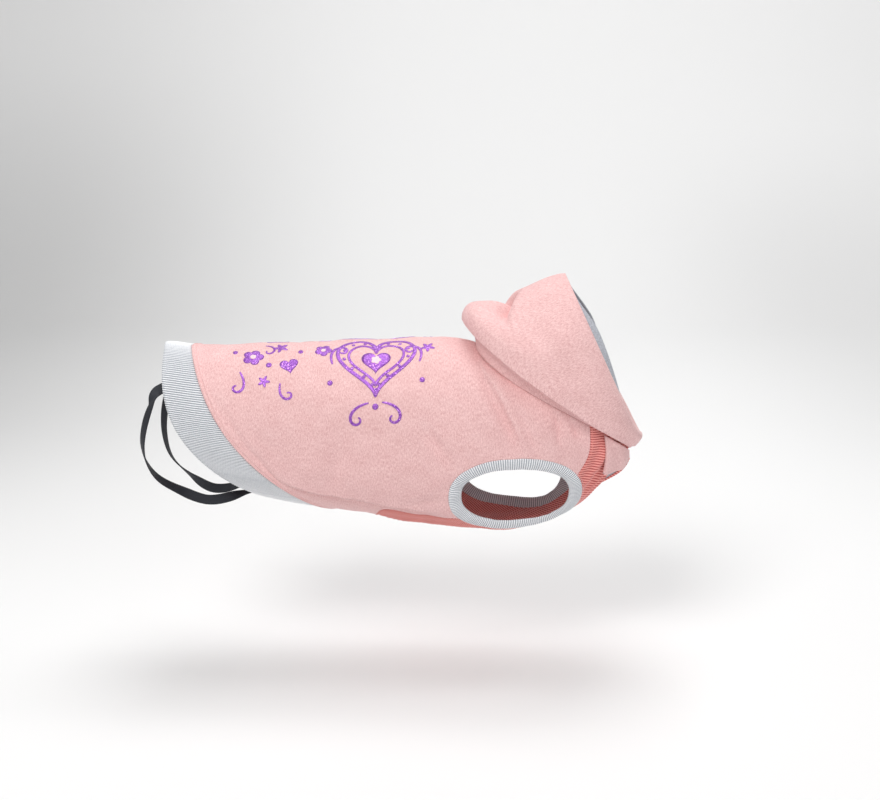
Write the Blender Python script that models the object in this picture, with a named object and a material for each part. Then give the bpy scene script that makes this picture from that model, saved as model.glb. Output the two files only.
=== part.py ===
"""A small dog's hooded sweatshirt in its worn form, as separate walls of cloth.

Metres, +X towards the hood, +Y to the garment's left, +Z up. The origin is on
the inside of the back, where the garment hangs on the spine.
"""
import math
from typing import NamedTuple

import bmesh
import bpy
import numpy as np

# Overall sizes of the body tube
BACK_LENGTH = 0.315
CHEST_DEPTH = 0.195
CHEST_WIDTH = 0.150

# Sizes of the hood, measured from the neck seam
HOOD_REACH = 0.080
HOOD_HEIGHT = 0.072
HOOD_WIDTH = 0.987 * CHEST_WIDTH
THROAT_RISE = 0.014
LINING_DEPTH = 0.30
LINING_SHOW = 0.008
# Share of LINING_SHOW left at the top, and where it fades, as 1 less the angle's cosine
LINING_HIDE = 0.06
LINING_FADE = (0.1, 0.7)
CREASE_DEPTH = 0.017

# Cloth and trim
FLEECE_WALL = 0.0024
RIB_WALL = 0.0022
LINING_WALL = 0.0012
BINDING_WIDTH = 0.0115
BINDING_WALL = 0.0026
STRAP_WIDTH = 0.010
STRAP_WALL = 0.0013
STRAP_TUCK = 0.012
CLEARANCE = 0.0004
FOLD_RELIEF = 0.0032

# Armhole, as it shows from the side
ARMHOLE_LENGTH = 0.130
ARMHOLE_HEIGHT = 0.084
ARMHOLE_ALONG = 0.616
ARMHOLE_DROP = 0.714
ARMHOLE_ROUNDNESS = 2.25
ARMHOLE_STEPS = 36
CUTTER_REACH = 0.012
# Where the search for a point of the outline starts: a section and an angle
SEARCH_START = (5.0, 2.0)
SEARCH_STEPS = 40

# Collar ends at the throat; right, slant, past and gap are shares of half a turn
COLLAR_LENGTH = 0.034
COLLAR_SHORT = 0.24
COLLAR_TAPER = 2.5
COLLAR_TOP = 0.0025
COLLAR_FLARE = 0.0055
COLLAR_RIGHT = 0.340
COLLAR_SLANT = 0.125
COLLAR_PAST = 0.010
COLLAR_PLEATS = 3.0
COLLAR_RELIEF = 0.35
FLAP_GAP = 0.035
FLAP_REACH = 0.017
FLAP_HEIGHT = 0.046
FLAP_DROP = 0.012
FLAP_LEAN = 0.35
FLAP_POINT = 0.38

# Mesh fineness
REAR_ROWS = 7
FRONT_ROWS = 18
BAND_ROWS = 3
BACK_COLUMNS = 32
CHEST_COLUMNS = 16
HOOD_COLUMNS = 32
HOOD_ROWS = 18
COLLAR_COLUMNS = 14
COLLAR_ROWS = 4
FLAP_ROWS = 5
FLAP_COLUMNS = 4
STRAP_STEPS = 26

HALF_TURN = math.pi
TINY = 1e-4


class BodySection(NamedTuple):
    """One slanted ring of the body.

    Along, bow and sway are shares of BACK_LENGTH, rise and drop are shares of
    CHEST_DEPTH and half_width is a share of CHEST_WIDTH.
    """

    name: str
    top_along: float
    top_rise: float
    belly_along: float
    belly_drop: float
    half_width: float
    bow: float
    sway: float


BODY_SECTIONS = (
    BodySection("free_edge", -0.483, 0.009, -0.140, 0.802, 0.413, 0.105, -0.013),
    BodySection("hem_seam", -0.400, -0.007, 0.038, 0.858, 0.420, 0.078, -0.013),
    BodySection("loin", -0.190, 0.001, 0.184, 0.896, 0.433, 0.042, -0.006),
    BodySection("waist", 0.016, 0.011, 0.330, 0.940, 0.453, 0.020, 0.000),
    BodySection("ribs", 0.190, 0.022, 0.476, 0.966, 0.480, 0.008, 0.000),
    BodySection("shoulder", 0.356, 0.029, 0.644, 0.966, 0.500, 0.002, 0.004),
    BodySection("chest", 0.438, 0.027, 0.820, 0.838, 0.487, 0.004, 0.014),
    BodySection("front", 0.483, 0.014, 0.897, 0.705, 0.447, -0.004, 0.025),
    BodySection("neck_seam", 0.517, -0.007, 0.965, 0.530, 0.387, -0.012, 0.038),
)
FREE_EDGE, HEM_SEAM, NECK_SEAM = 0, 1, 8
# How many sections the folds take to fade out at a seam
HEM_FADE = 0.3
NECK_FADE = 0.4


class HoodSection(NamedTuple):
    """One ring of the hood after the neck seam, which is the body's last ring.

    Top along is a share of HOOD_REACH and top rise of HOOD_HEIGHT. The throat
    columns are shares of THROAT_RISE, half_width of HOOD_WIDTH, and follow
    says how much of the neck seam's bow and sway the ring keeps.
    """

    name: str
    top_along: float
    top_rise: float
    throat_along: float
    throat_rise: float
    half_width: float
    follow: float


HOOD_SECTIONS = (
    HoodSection("tuck", -0.160, 0.155, 0.38, -0.12, 0.430, 0.60),
    HoodSection("fold", -0.250, 0.290, 0.78, 0.02, 0.500, 0.15),
    HoodSection("back", -0.255, 0.460, 1.08, 0.30, 0.505, 0.00),
    HoodSection("shoulder", -0.160, 0.590, 1.22, 0.52, 0.502, 0.00),
    HoodSection("lump", 0.050, 0.640, 1.30, 0.68, 0.492, 0.00),
    HoodSection("saddle", 0.260, 0.690, 1.32, 0.80, 0.478, 0.00),
    HoodSection("crown", 0.480, 0.790, 1.30, 0.90, 0.455, 0.00),
    HoodSection("brow", 0.770, 0.930, 1.20, 0.98, 0.408, 0.00),
    HoodSection("opening", 1.000, 0.995, 0.95, 1.02, 0.345, 0.00),
)
HOOD_OPENING = len(HOOD_SECTIONS)
CREASE_SECTION = 6.0
CREASE_SPREAD = 0.42
CREASE_REACH = 0.34


class SidePlace(NamedTuple):
    """A fold seen from the side, as shares of BACK_LENGTH and CHEST_DEPTH."""

    name: str
    along: float
    drop: float
    half_length: float
    half_width: float
    slant_deg: float
    depth: float


# Length and width are shares of BACK_LENGTH, depth is a share of FOLD_RELIEF
BODY_FOLDS = (
    SidePlace("hem_drag", -0.190, 0.470, 0.180, 0.022, -57.0, 1.00),
    SidePlace("underside", 0.080, 0.775, 0.190, 0.026, -11.0, 1.15),
    SidePlace("flank_dent", 0.070, 0.520, 0.085, 0.048, 80.0, 0.65),
    SidePlace("rib_dent", 0.375, 0.440, 0.060, 0.032, -50.0, 0.65),
    SidePlace("shoulder_drag", 0.575, 0.310, 0.130, 0.034, -62.0, 0.80),
    SidePlace("neck_pleat", 0.745, 0.335, 0.060, 0.018, -86.0, 1.00),
    SidePlace("throat_pleat", 0.800, 0.345, 0.040, 0.015, -74.0, 0.90),
)


class ChestEdge(NamedTuple):
    """Half the chest panel's spread around the belly, in half turns."""

    section: float
    spread: float


CHEST_EDGE = (
    ChestEdge(0.00, 0.105),
    ChestEdge(2.05, 0.105),
    ChestEdge(2.30, 0.180),
    ChestEdge(3.20, 0.208),
    ChestEdge(5.00, 0.238),
    ChestEdge(6.60, 0.296),
    ChestEdge(7.30, 0.334),
    ChestEdge(8.00, 0.405),
)
CHEST_START = 2.05
CHEST_PLEATS = 5.0
CHEST_PLEAT_START = 6.2
CHEST_PLEAT_SHARE = 0.75


class StrapStop(NamedTuple):
    """A point of the leg loop: shares of BACK_LENGTH, CHEST_DEPTH, CHEST_WIDTH."""

    along: float
    drop: float
    aside: float


# Where a loop leaves and returns, and how it slants, as shares of half a turn
STRAP_LEAVES = 0.300
STRAP_RETURNS = 0.900
STRAP_SLANT = 0.050
STRAP_ROUTE = (
    StrapStop(-0.499, 0.240, 0.420),
    StrapStop(-0.519, 0.335, 0.430),
    StrapStop(-0.532, 0.445, 0.400),
    StrapStop(-0.529, 0.545, 0.335),
    StrapStop(-0.503, 0.650, 0.250),
    StrapStop(-0.440, 0.735, 0.180),
    StrapStop(-0.370, 0.795, 0.130),
)
LEG_ALONG = -0.365
LEG_ASIDE = 0.200


class RimStop(NamedTuple):
    """A corner of the binding's profile: shares of BINDING_WIDTH and BINDING_WALL."""

    across: float
    height: float


BINDING_LEAN = 0.35
BINDING_PROFILE = (
    RimStop(0.00, 0.00),
    RimStop(0.10, 0.35),
    RimStop(0.55, 0.50),
    RimStop(1.00, 0.10),
    RimStop(1.00, -0.85),
    RimStop(0.50, -0.75),
    RimStop(0.00, -0.95),
)


class Finish(NamedTuple):
    """Colour and surface of one cloth."""

    color: tuple
    roughness: float


FINISHES = {
    "fleece": Finish((0.80, 0.52, 0.52, 1.0), 0.9),
    "coral_rib": Finish((0.80, 0.30, 0.26, 1.0), 0.9),
    "grey_rib": Finish((0.55, 0.58, 0.64, 1.0), 0.9),
    "lining": Finish((0.50, 0.53, 0.60, 1.0), 0.9),
    "elastic": Finish((0.02, 0.02, 0.025, 1.0), 0.6),
}


def clear_scene() -> None:
    """Remove every object that the scene starts with."""
    for thing in list(bpy.data.objects):
        bpy.data.objects.remove(thing, do_unlink=True)


def smooth_rows(rows, places, wanted) -> np.ndarray:
    """Values of a table between its rows, on one smooth curve."""
    values = np.array(rows, dtype=float)
    places = np.array(places, dtype=float)
    wanted = np.clip(np.asarray(wanted, dtype=float), places[0], places[-1])
    slopes = np.empty_like(values)
    steps = np.diff(places)[:, None]
    rises = np.diff(values, axis=0) / steps
    slopes[1:-1] = (rises[:-1] * steps[1:] + rises[1:] * steps[:-1]) / (steps[:-1] + steps[1:])
    slopes[0] = rises[0]
    slopes[-1] = rises[-1]
    span = np.clip(np.searchsorted(places, wanted, side="right") - 1, 0, len(places) - 2)
    width = (places[span + 1] - places[span])[..., None]
    t = (wanted - places[span])[..., None] / width
    rise = t * t * (3.0 - 2.0 * t)
    blend = values[span] * (1.0 - rise) + values[span + 1] * rise
    pull = slopes[span] * (t - 2.0 * t**2 + t**3) + slopes[span + 1] * (t**3 - t**2)
    return blend + pull * width


def ease(value, low, high):
    """A share that goes smoothly from 0 at low to 1 at high."""
    t = np.clip((value - low) / (high - low), 0.0, 1.0)
    return t * t * (3.0 - 2.0 * t)


def ring_points(sections: np.ndarray, angles: np.ndarray) -> np.ndarray:
    """Points of slanted rings: angle 0 is the top, and +half a turn the belly."""
    top_x, top_z, low_x, low_z, width, bow, sway = np.moveaxis(sections, -1, 0)
    cosine, sine = np.cos(angles), np.sin(angles)
    x = (top_x + low_x) / 2.0 + (top_x - low_x) / 2.0 * cosine
    x = x - bow * sine**2 - sway * np.sin(2.0 * angles) * np.sign(sine)
    z = (top_z + low_z) / 2.0 + (top_z - low_z) / 2.0 * cosine
    return np.stack([x, -width * sine, z], axis=-1)


BODY_PLACES = [(row.top_along + row.belly_along) / 2.0 for row in BODY_SECTIONS]


def body_rings(section) -> np.ndarray:
    """Ring sizes of the body, where section counts the table's rows."""
    rows = [
        (
            row.top_along * BACK_LENGTH,
            row.top_rise * CHEST_DEPTH,
            row.belly_along * BACK_LENGTH,
            -row.belly_drop * CHEST_DEPTH,
            row.half_width * CHEST_WIDTH,
            row.bow * BACK_LENGTH,
            row.sway * BACK_LENGTH,
        )
        for row in BODY_SECTIONS
    ]
    counts = range(len(BODY_SECTIONS))
    return smooth_rows(rows, BODY_PLACES, np.interp(section, counts, BODY_PLACES))


def fold_depth(points: np.ndarray) -> np.ndarray:
    """How far the body's folds and dents sink, at points of its plain form."""
    x, y, z = np.moveaxis(points, -1, 0)
    depth = np.zeros_like(x)
    for fold in BODY_FOLDS:
        slant = math.radians(fold.slant_deg)
        across = x - fold.along * BACK_LENGTH
        above = z + fold.drop * CHEST_DEPTH
        run = (across * math.cos(slant) + above * math.sin(slant)) / (fold.half_length * BACK_LENGTH)
        off = (above * math.cos(slant) - across * math.sin(slant)) / (fold.half_width * BACK_LENGTH)
        depth += fold.depth * FOLD_RELIEF * np.exp(-(run**2) - off**2)
    return depth * ease(np.abs(y), 0.1 * CHEST_WIDTH, 0.3 * CHEST_WIDTH)


def normals_of(place, first, second) -> np.ndarray:
    """Outward normals of a surface, given by a function of two parameters."""
    along = place(first + TINY, second) - place(first - TINY, second)
    around = place(first, second + TINY) - place(first, second - TINY)
    normal = np.cross(along, around)
    return normal / np.linalg.norm(normal, axis=-1, keepdims=True)


def body_form(section, angle) -> np.ndarray:
    """Plain outside of the body, without folds."""
    section, angle = np.broadcast_arrays(section, angle)
    return ring_points(body_rings(section), angle)


def body_normals(section, angle) -> np.ndarray:
    """Outward normals of the plain body."""
    inside = np.clip(section, 2.0 * TINY, NECK_SEAM - 2.0 * TINY)
    return -normals_of(body_form, inside, np.asarray(angle))


def body_skin(section, angle, lift=0.0) -> np.ndarray:
    """Folded outside of the body, moved outward by lift."""
    section, angle = np.broadcast_arrays(section, angle)
    form = body_form(section, angle)
    seams = ease(section, HEM_SEAM, HEM_SEAM + HEM_FADE)
    seams = seams * (1.0 - ease(section, NECK_SEAM - NECK_FADE, NECK_SEAM))
    sink = fold_depth(form) * seams
    return form + body_normals(section, angle) * (lift - sink)[..., None]


def chest_spread(section) -> np.ndarray:
    """Half the chest panel's spread around the belly, in radians."""
    places = [row.section for row in CHEST_EDGE]
    spreads = [(row.spread,) for row in CHEST_EDGE]
    return smooth_rows(spreads, places, section)[..., 0] * HALF_TURN


def hood_rings(section) -> np.ndarray:
    """Ring sizes of the hood, whose first ring follows the neck seam."""
    neck = BODY_SECTIONS[NECK_SEAM]
    seam = body_rings(float(NECK_SEAM))
    rows = [
        (
            neck.top_along * BACK_LENGTH + row.top_along * HOOD_REACH,
            neck.top_rise * CHEST_DEPTH + row.top_rise * HOOD_HEIGHT,
            neck.belly_along * BACK_LENGTH + row.throat_along * THROAT_RISE,
            -neck.belly_drop * CHEST_DEPTH + row.throat_rise * THROAT_RISE,
            row.half_width * HOOD_WIDTH,
            row.follow * neck.bow * BACK_LENGTH,
            row.follow * neck.sway * BACK_LENGTH,
        )
        for row in HOOD_SECTIONS
    ]
    return smooth_rows([tuple(seam), *rows], range(HOOD_OPENING + 1), section)


def hood_form(section, angle) -> np.ndarray:
    """Plain outside of the hood."""
    section, angle = np.broadcast_arrays(section, angle)
    return ring_points(hood_rings(section), angle)


def hood_normals(section, angle) -> np.ndarray:
    """Outward normals of the plain hood."""
    inside = np.clip(section, 2.0 * TINY, HOOD_OPENING - 2.0 * TINY)
    return -normals_of(hood_form, inside, np.asarray(angle))


def hood_skin(section, angle, lift=0.0) -> np.ndarray:
    """Outside of the hood with the crease at the nape, moved outward by lift."""
    section, angle = np.broadcast_arrays(section, angle)
    turned = np.arctan2(np.sin(angle), np.cos(angle))
    crease = np.exp(-(((section - CREASE_SECTION) / CREASE_SPREAD) ** 2) - (turned / CREASE_REACH) ** 2)
    offset = lift - CREASE_DEPTH * crease
    return hood_form(section, angle) + hood_normals(section, angle) * offset[..., None]


def solid_from(name, outer, inner, cells, ring, finish):
    """Close two matching grids of points into one wall of cloth.

    cells lists the grid squares that are cloth; ring joins the last column to
    the first one.
    """
    rows, columns = outer.shape[:2]
    points = np.concatenate([outer.reshape(-1, 3), inner.reshape(-1, 3)])
    under = rows * columns

    def spot(row, column):
        return row * columns + (column % columns if ring else column)

    faces, edges = [], set()
    for row, column in cells:
        corners = [
            spot(row, column),
            spot(row, column + 1),
            spot(row + 1, column + 1),
            spot(row + 1, column),
        ]
        faces.append(corners)
        faces.append([under + corner for corner in corners[:1] + corners[:0:-1]])
        edges.update(zip(corners, corners[1:] + corners[:1]))
    for start, end in sorted(edges):
        if (end, start) not in edges:
            faces.append([end, start, under + start, under + end])
    used = sorted({corner for face in faces for corner in face})
    renumber = {old: new for new, old in enumerate(used)}
    mesh = bpy.data.meshes.new(name)
    mesh.from_pydata(
        [tuple(points[old]) for old in used],
        [],
        [[renumber[corner] for corner in face] for face in faces],
    )
    return add_object(name, mesh, finish)


def add_object(name, mesh, finish):
    """Link a mesh as a named object with its faces outward and its own material."""
    shape = bmesh.new()
    shape.from_mesh(mesh)
    if shape.calc_volume(signed=True) < 0.0:
        bmesh.ops.reverse_faces(shape, faces=shape.faces)
    shape.to_mesh(mesh)
    shape.free()
    mesh.shade_smooth()
    thing = bpy.data.objects.new(name, mesh)
    bpy.context.scene.collection.objects.link(thing)
    if finish:
        mesh.materials.append(cloth_material(name, FINISHES[finish]))
    return thing


def cloth_material(name, finish):
    """A plain Principled material in a cloth's own colour."""
    material = bpy.data.materials.new(name)
    material.use_nodes = True
    shader = material.node_tree.nodes["Principled BSDF"]
    shader.inputs["Base Color"].default_value = finish.color
    shader.inputs["Roughness"].default_value = finish.roughness
    shader.inputs["Metallic"].default_value = 0.0
    return material


def body_stations() -> np.ndarray:
    """Rows of the body from the hem seam to the neck seam, one at the chest panel's end."""
    behind = np.linspace(HEM_SEAM, CHEST_START, REAR_ROWS + 1)
    ahead = np.linspace(CHEST_START, NECK_SEAM, FRONT_ROWS + 1)
    return np.concatenate([behind, ahead[1:]])


def whole_girth(stations) -> np.ndarray:
    """Angles all the way round, with columns on both of the chest panel's seams."""
    spread = chest_spread(stations)[:, None]
    back = (HALF_TURN - spread) * np.linspace(-1.0, 1.0, BACK_COLUMNS + 1)
    belly = HALF_TURN + spread * np.linspace(-1.0, 1.0, CHEST_COLUMNS // 2 + 1)[1:-1]
    return np.concatenate([back, belly], axis=1)


def make_body_panel():
    """Fleece back and sides, closed under the belly behind the chest panel."""
    stations = body_stations()
    angles = whole_girth(stations)
    sections = stations[:, None]
    outer = body_skin(sections, angles)
    inner = body_skin(sections, angles, -FLEECE_WALL)
    cells = [
        (row, column)
        for row in range(len(stations) - 1)
        for column in range(angles.shape[1])
        if column < BACK_COLUMNS or row < REAR_ROWS
    ]
    return solid_from("body_panel", outer, inner, cells, True, "fleece")


def chest_lift(sections, share) -> np.ndarray:
    """How far the chest panel's pleats sink; share runs from -1 to 1 across the panel."""
    gather = ease(sections, CHEST_PLEAT_START, NECK_SEAM - NECK_FADE) * (1.0 - share**8)
    pleats = 0.5 - 0.5 * np.cos(HALF_TURN * CHEST_PLEATS * (share + 1.0))
    return -FOLD_RELIEF * CHEST_PLEAT_SHARE * gather * pleats


def make_chest_panel():
    """Ribbed belly and chest panel between the two side seams."""
    stations = body_stations()[REAR_ROWS:]
    spread = (chest_spread(stations) - CLEARANCE / (CHEST_WIDTH / 2.0))[:, None]
    stations[0] += CLEARANCE / (BACK_LENGTH / NECK_SEAM)
    share = np.linspace(-1.0, 1.0, CHEST_COLUMNS + 1)[None, :]
    angles = HALF_TURN + spread * share
    sections = stations[:, None] + 0.0 * share
    lift = chest_lift(sections, share)
    outer = body_skin(sections, angles, lift)
    inner = body_skin(sections, angles, lift - RIB_WALL)
    cells = [(row, column) for row in range(len(stations) - 1) for column in range(CHEST_COLUMNS)]
    return solid_from("chest_panel", outer, inner, cells, False, "coral_rib")


def band_length() -> float:
    """Length of the hem band along the spine."""
    return (BODY_SECTIONS[HEM_SEAM].top_along - BODY_SECTIONS[FREE_EDGE].top_along) * BACK_LENGTH


def make_hem_band():
    """Ribbed band from the hem seam to the free edge."""
    stations = np.linspace(FREE_EDGE, HEM_SEAM - CLEARANCE / band_length(), BAND_ROWS + 1)
    angles = whole_girth(np.full_like(stations, HEM_SEAM))
    sections = stations[:, None]
    outer = body_skin(sections, angles)
    inner = body_skin(sections, angles, -RIB_WALL)
    cells = [(row, column) for row in range(BAND_ROWS) for column in range(angles.shape[1])]
    return solid_from("hem_band", outer, inner, cells, True, "grey_rib")


def find_on_body(x, z):
    """Section and angle of the body's right side under a point seen from the side."""
    section, angle = SEARCH_START
    for _ in range(SEARCH_STEPS):
        here = body_form(section, angle)
        by_section = (body_form(section + TINY, angle) - here) / TINY
        by_angle = (body_form(section, angle + TINY) - here) / TINY
        slope = np.array([[by_section[0], by_angle[0]], [by_section[2], by_angle[2]]])
        step = np.linalg.solve(slope, [x - here[0], z - here[2]])
        section = float(np.clip(section + np.clip(step[0], -0.4, 0.4), FREE_EDGE, NECK_SEAM))
        angle = float(np.clip(angle + np.clip(step[1], -0.2, 0.2), 0.0, HALF_TURN))
    return section, angle


def armhole_outline():
    """Points and outward normals around the right armhole's seam."""
    points, normals = [], []
    for step in range(ARMHOLE_STEPS):
        turn = 2.0 * HALF_TURN * step / ARMHOLE_STEPS
        power = 2.0 / ARMHOLE_ROUNDNESS
        along = math.copysign(abs(math.cos(turn)) ** power, math.cos(turn))
        up = math.copysign(abs(math.sin(turn)) ** power, math.sin(turn))
        x = ARMHOLE_ALONG * BACK_LENGTH + along * ARMHOLE_LENGTH / 2.0
        z = -ARMHOLE_DROP * CHEST_DEPTH + up * ARMHOLE_HEIGHT / 2.0
        section, angle = find_on_body(x, z)
        points.append(body_form(section, angle))
        normals.append(body_normals(section, angle))
    return np.array(points), np.array(normals)


def mirrored(points, side):
    """Points moved to the side asked for: -1 is the right side as built, +1 the left."""
    return points * np.array([1.0, -side, 1.0])


def make_armhole_cutter(side):
    """A plug that crosses the body's wall along the armhole's outline."""
    points, normals = armhole_outline()
    inner = mirrored(points - normals * CUTTER_REACH, side)
    outer = mirrored(points + normals * CUTTER_REACH, side)
    middle = points.mean(axis=0)
    heading = normals.mean(axis=0)
    heading = heading / np.linalg.norm(heading)
    centres = np.array([middle - heading * CUTTER_REACH, middle + heading * 3.0 * CUTTER_REACH])
    count = len(points)
    corners = [tuple(p) for p in np.concatenate([inner, outer, mirrored(centres, side)])]
    faces = []
    for spot in range(count):
        after = (spot + 1) % count
        faces.append([spot, after, count + after, count + spot])
        faces.append([after, spot, 2 * count])
        faces.append([count + spot, count + after, 2 * count + 1])
    mesh = bpy.data.meshes.new("armhole_cutter")
    mesh.from_pydata(corners, [], faces)
    cutter = add_object("armhole_cutter_left" if side > 0 else "armhole_cutter_right", mesh, None)
    cutter.hide_render = True
    cutter.display_type = "WIRE"
    return cutter


def cut(thing, cutter):
    """Cut one closed shape out of another, exactly."""
    modifier = thing.modifiers.new("armhole", "BOOLEAN")
    modifier.operation = "DIFFERENCE"
    modifier.solver = "EXACT"
    modifier.object = cutter


def make_binding(name, side):
    """Ribbed band that lines an armhole, from its seam inward."""
    points, normals = armhole_outline()
    ahead = np.roll(points, -1, axis=0) - np.roll(points, 1, axis=0)
    ahead = ahead / np.linalg.norm(ahead, axis=1, keepdims=True)
    inward = np.cross(normals, ahead)
    centre = points.mean(axis=0)
    if np.sum(inward * (centre - points)) < 0.0:
        inward = -inward
    rings = []
    for stop in BINDING_PROFILE:
        reach = CLEARANCE + stop.across * BINDING_WIDTH
        sink = BINDING_LEAN * stop.across**2 * BINDING_WIDTH
        rings.append(points + inward * reach + normals * (stop.height * BINDING_WALL - sink))
    grid = mirrored(np.stack(rings), side)
    count = len(points)
    corners = [tuple(p) for p in grid.reshape(-1, 3)]
    faces = []
    for row in range(len(rings)):
        below = (row + 1) % len(rings)
        for spot in range(count):
            after = (spot + 1) % count
            near, far = row * count, below * count
            faces.append([near + spot, near + after, far + after, far + spot])
    mesh = bpy.data.meshes.new(name)
    mesh.from_pydata(corners, [], faces)
    return add_object(name, mesh, "grey_rib")


def make_hood_shell():
    """Fleece hood that stands round the neck and hangs over its own seam."""
    sections = np.linspace(0.0, HOOD_OPENING, HOOD_ROWS + 1)[:, None]
    angles = 2.0 * HALF_TURN * np.arange(HOOD_COLUMNS)[None, :] / HOOD_COLUMNS
    gap = hood_gap(sections, angles)
    outer = hood_skin(sections, angles) + gap
    inner = hood_skin(sections, angles, -FLEECE_WALL) + gap
    cells = [(row, column) for row in range(HOOD_ROWS) for column in range(HOOD_COLUMNS)]
    return solid_from("hood_shell", outer, inner, cells, True, "fleece")


def hood_gap(sections, angles) -> np.ndarray:
    """A small step forward that keeps the hood's first rows off the neck seam."""
    ahead = body_form(NECK_SEAM, angles) - body_form(NECK_SEAM - 0.05, angles)
    ahead = ahead / np.linalg.norm(ahead, axis=-1, keepdims=True)
    return ahead * CLEARANCE * 1.5 * (1.0 - ease(sections, 0.0, 2.0))[..., None]


def make_hood_lining():
    """Thin lining inside the hood's front, showing past the fleece's edge."""
    stations = np.linspace(0.0, HOOD_OPENING, HOOD_ROWS + 1)
    sections = stations[stations > (1.0 - LINING_DEPTH) * HOOD_OPENING][:, None]
    angles = 2.0 * HALF_TURN * np.arange(HOOD_COLUMNS)[None, :] / HOOD_COLUMNS
    lift = -FLEECE_WALL - CLEARANCE
    outer = hood_skin(sections, angles, lift)
    inner = hood_skin(sections, angles, lift - LINING_WALL)
    reach = outer[-1] - outer[-2]
    reach = reach / np.linalg.norm(reach, axis=-1, keepdims=True)
    flank = ease(1.0 - np.cos(angles[0]), *LINING_FADE)
    shown = (LINING_HIDE + (1.0 - LINING_HIDE) * flank) * LINING_SHOW
    outer = np.concatenate([outer, outer[-1:] + reach * shown[:, None]])
    inner = np.concatenate([inner, inner[-1:] + reach * shown[:, None]])
    cells = [(row, column) for row in range(len(sections)) for column in range(HOOD_COLUMNS)]
    return solid_from("hood_lining", outer, inner, cells, True, "lining")


def throat_section(below) -> np.ndarray:
    """Section that lies a given length below the neck seam, measured down the throat."""
    front = body_form(np.array([NECK_SEAM - 1.0, NECK_SEAM]), HALF_TURN)
    return NECK_SEAM - below / np.linalg.norm(front[1] - front[0])


def make_collar_front():
    """Short fleece collar end that lies over the chest panel under the hood."""
    shares = np.linspace(0.0, 1.0, COLLAR_ROWS + 1)[:, None]
    girths = np.linspace(0.0, 1.0, COLLAR_COLUMNS + 1)[None, :]
    right = COLLAR_RIGHT - COLLAR_SLANT * shares
    angles = HALF_TURN * (1.0 - right + (right + COLLAR_PAST) * girths)
    lengths = COLLAR_LENGTH * (COLLAR_SHORT + (1.0 - COLLAR_SHORT) * (1.0 - girths) ** COLLAR_TAPER)
    sections = throat_section(COLLAR_TOP + shares * lengths)
    pleats = 0.5 + 0.5 * np.cos(2.0 * HALF_TURN * COLLAR_PLEATS * girths)
    lift = FLEECE_WALL + CLEARANCE + COLLAR_FLARE * shares * np.sin(HALF_TURN * girths) ** 0.5
    lift = lift + COLLAR_RELIEF * FOLD_RELIEF * pleats * shares
    outer = body_form(sections, angles) + body_normals(sections, angles) * lift[..., None]
    inner = outer - body_normals(sections, angles) * FLEECE_WALL
    cells = [(row, column) for row in range(COLLAR_ROWS) for column in range(COLLAR_COLUMNS)]
    return solid_from("collar_front", outer, inner, cells, False, "fleece")


def make_collar_flap():
    """Far collar end that stands out below the front one, lining side towards the right."""
    heights = np.linspace(0.0, 1.0, FLAP_ROWS + 1)[:, None]
    widths = np.linspace(0.0, 1.0, FLAP_COLUMNS + 1)[None, :]
    sections = throat_section(FLAP_DROP + heights * FLAP_HEIGHT)
    angle = HALF_TURN * (1.0 + COLLAR_PAST + FLAP_GAP)
    share = (angle - HALF_TURN) / chest_spread(sections)
    root = body_skin(sections, angle, chest_lift(sections, share))
    normal = body_normals(sections, angle)
    out = np.sin(HALF_TURN * (FLAP_POINT + (1.0 - FLAP_POINT) * heights[..., None]))
    reach = FLAP_REACH * widths[..., None] * out
    left = np.array([0.0, 1.0, 0.0])
    near = root + normal * (CLEARANCE + reach) + left * FLAP_LEAN * reach
    far = near + left * FLEECE_WALL
    cells = [(row, column) for row in range(FLAP_ROWS) for column in range(FLAP_COLUMNS)]
    return solid_from("collar_flap", near, far, cells, False, "fleece")


def strap_route(side):
    """Middle line and outward normals of a leg loop, from hip to groin."""
    sink = -(RIB_WALL + 2.0 * CLEARANCE + STRAP_WALL)

    def under_band(angle_share, slant):
        angles = np.array([angle_share - slant, angle_share]) * HALF_TURN
        sections = np.array([STRAP_TUCK / band_length(), FREE_EDGE])
        normals = body_normals(sections, angles)
        spots = body_form(sections, angles) + normals * sink
        clear = (spots[1] - spots[0]) / np.linalg.norm(spots[1] - spots[0])
        return [spots[0], spots[1], spots[1] + clear * STRAP_WIDTH * 0.5], [*normals, normals[1]]

    hip_spots, hip_normals = under_band(STRAP_LEAVES, STRAP_SLANT)
    groin_spots, groin_normals = under_band(STRAP_RETURNS, 0.0)
    route, outward = [], []
    for stop in STRAP_ROUTE:
        spot = np.array([stop.along * BACK_LENGTH, -stop.aside * CHEST_WIDTH, -stop.drop * CHEST_DEPTH])
        leg = np.array([LEG_ALONG * BACK_LENGTH, -LEG_ASIDE * CHEST_WIDTH, spot[2]])
        route.append(spot)
        outward.append((spot - leg) / np.linalg.norm(spot - leg))
    stops = hip_spots + route + groin_spots[::-1]
    normals = hip_normals + outward + groin_normals[::-1]
    lengths = np.concatenate([[0.0], np.cumsum(np.linalg.norm(np.diff(stops, axis=0), axis=1))])
    wanted = np.linspace(0.0, lengths[-1], STRAP_STEPS + 1)
    line = smooth_rows(stops, lengths, wanted)
    facing = smooth_rows(normals, lengths, wanted)
    return mirrored(line, side), mirrored(facing, side)


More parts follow.
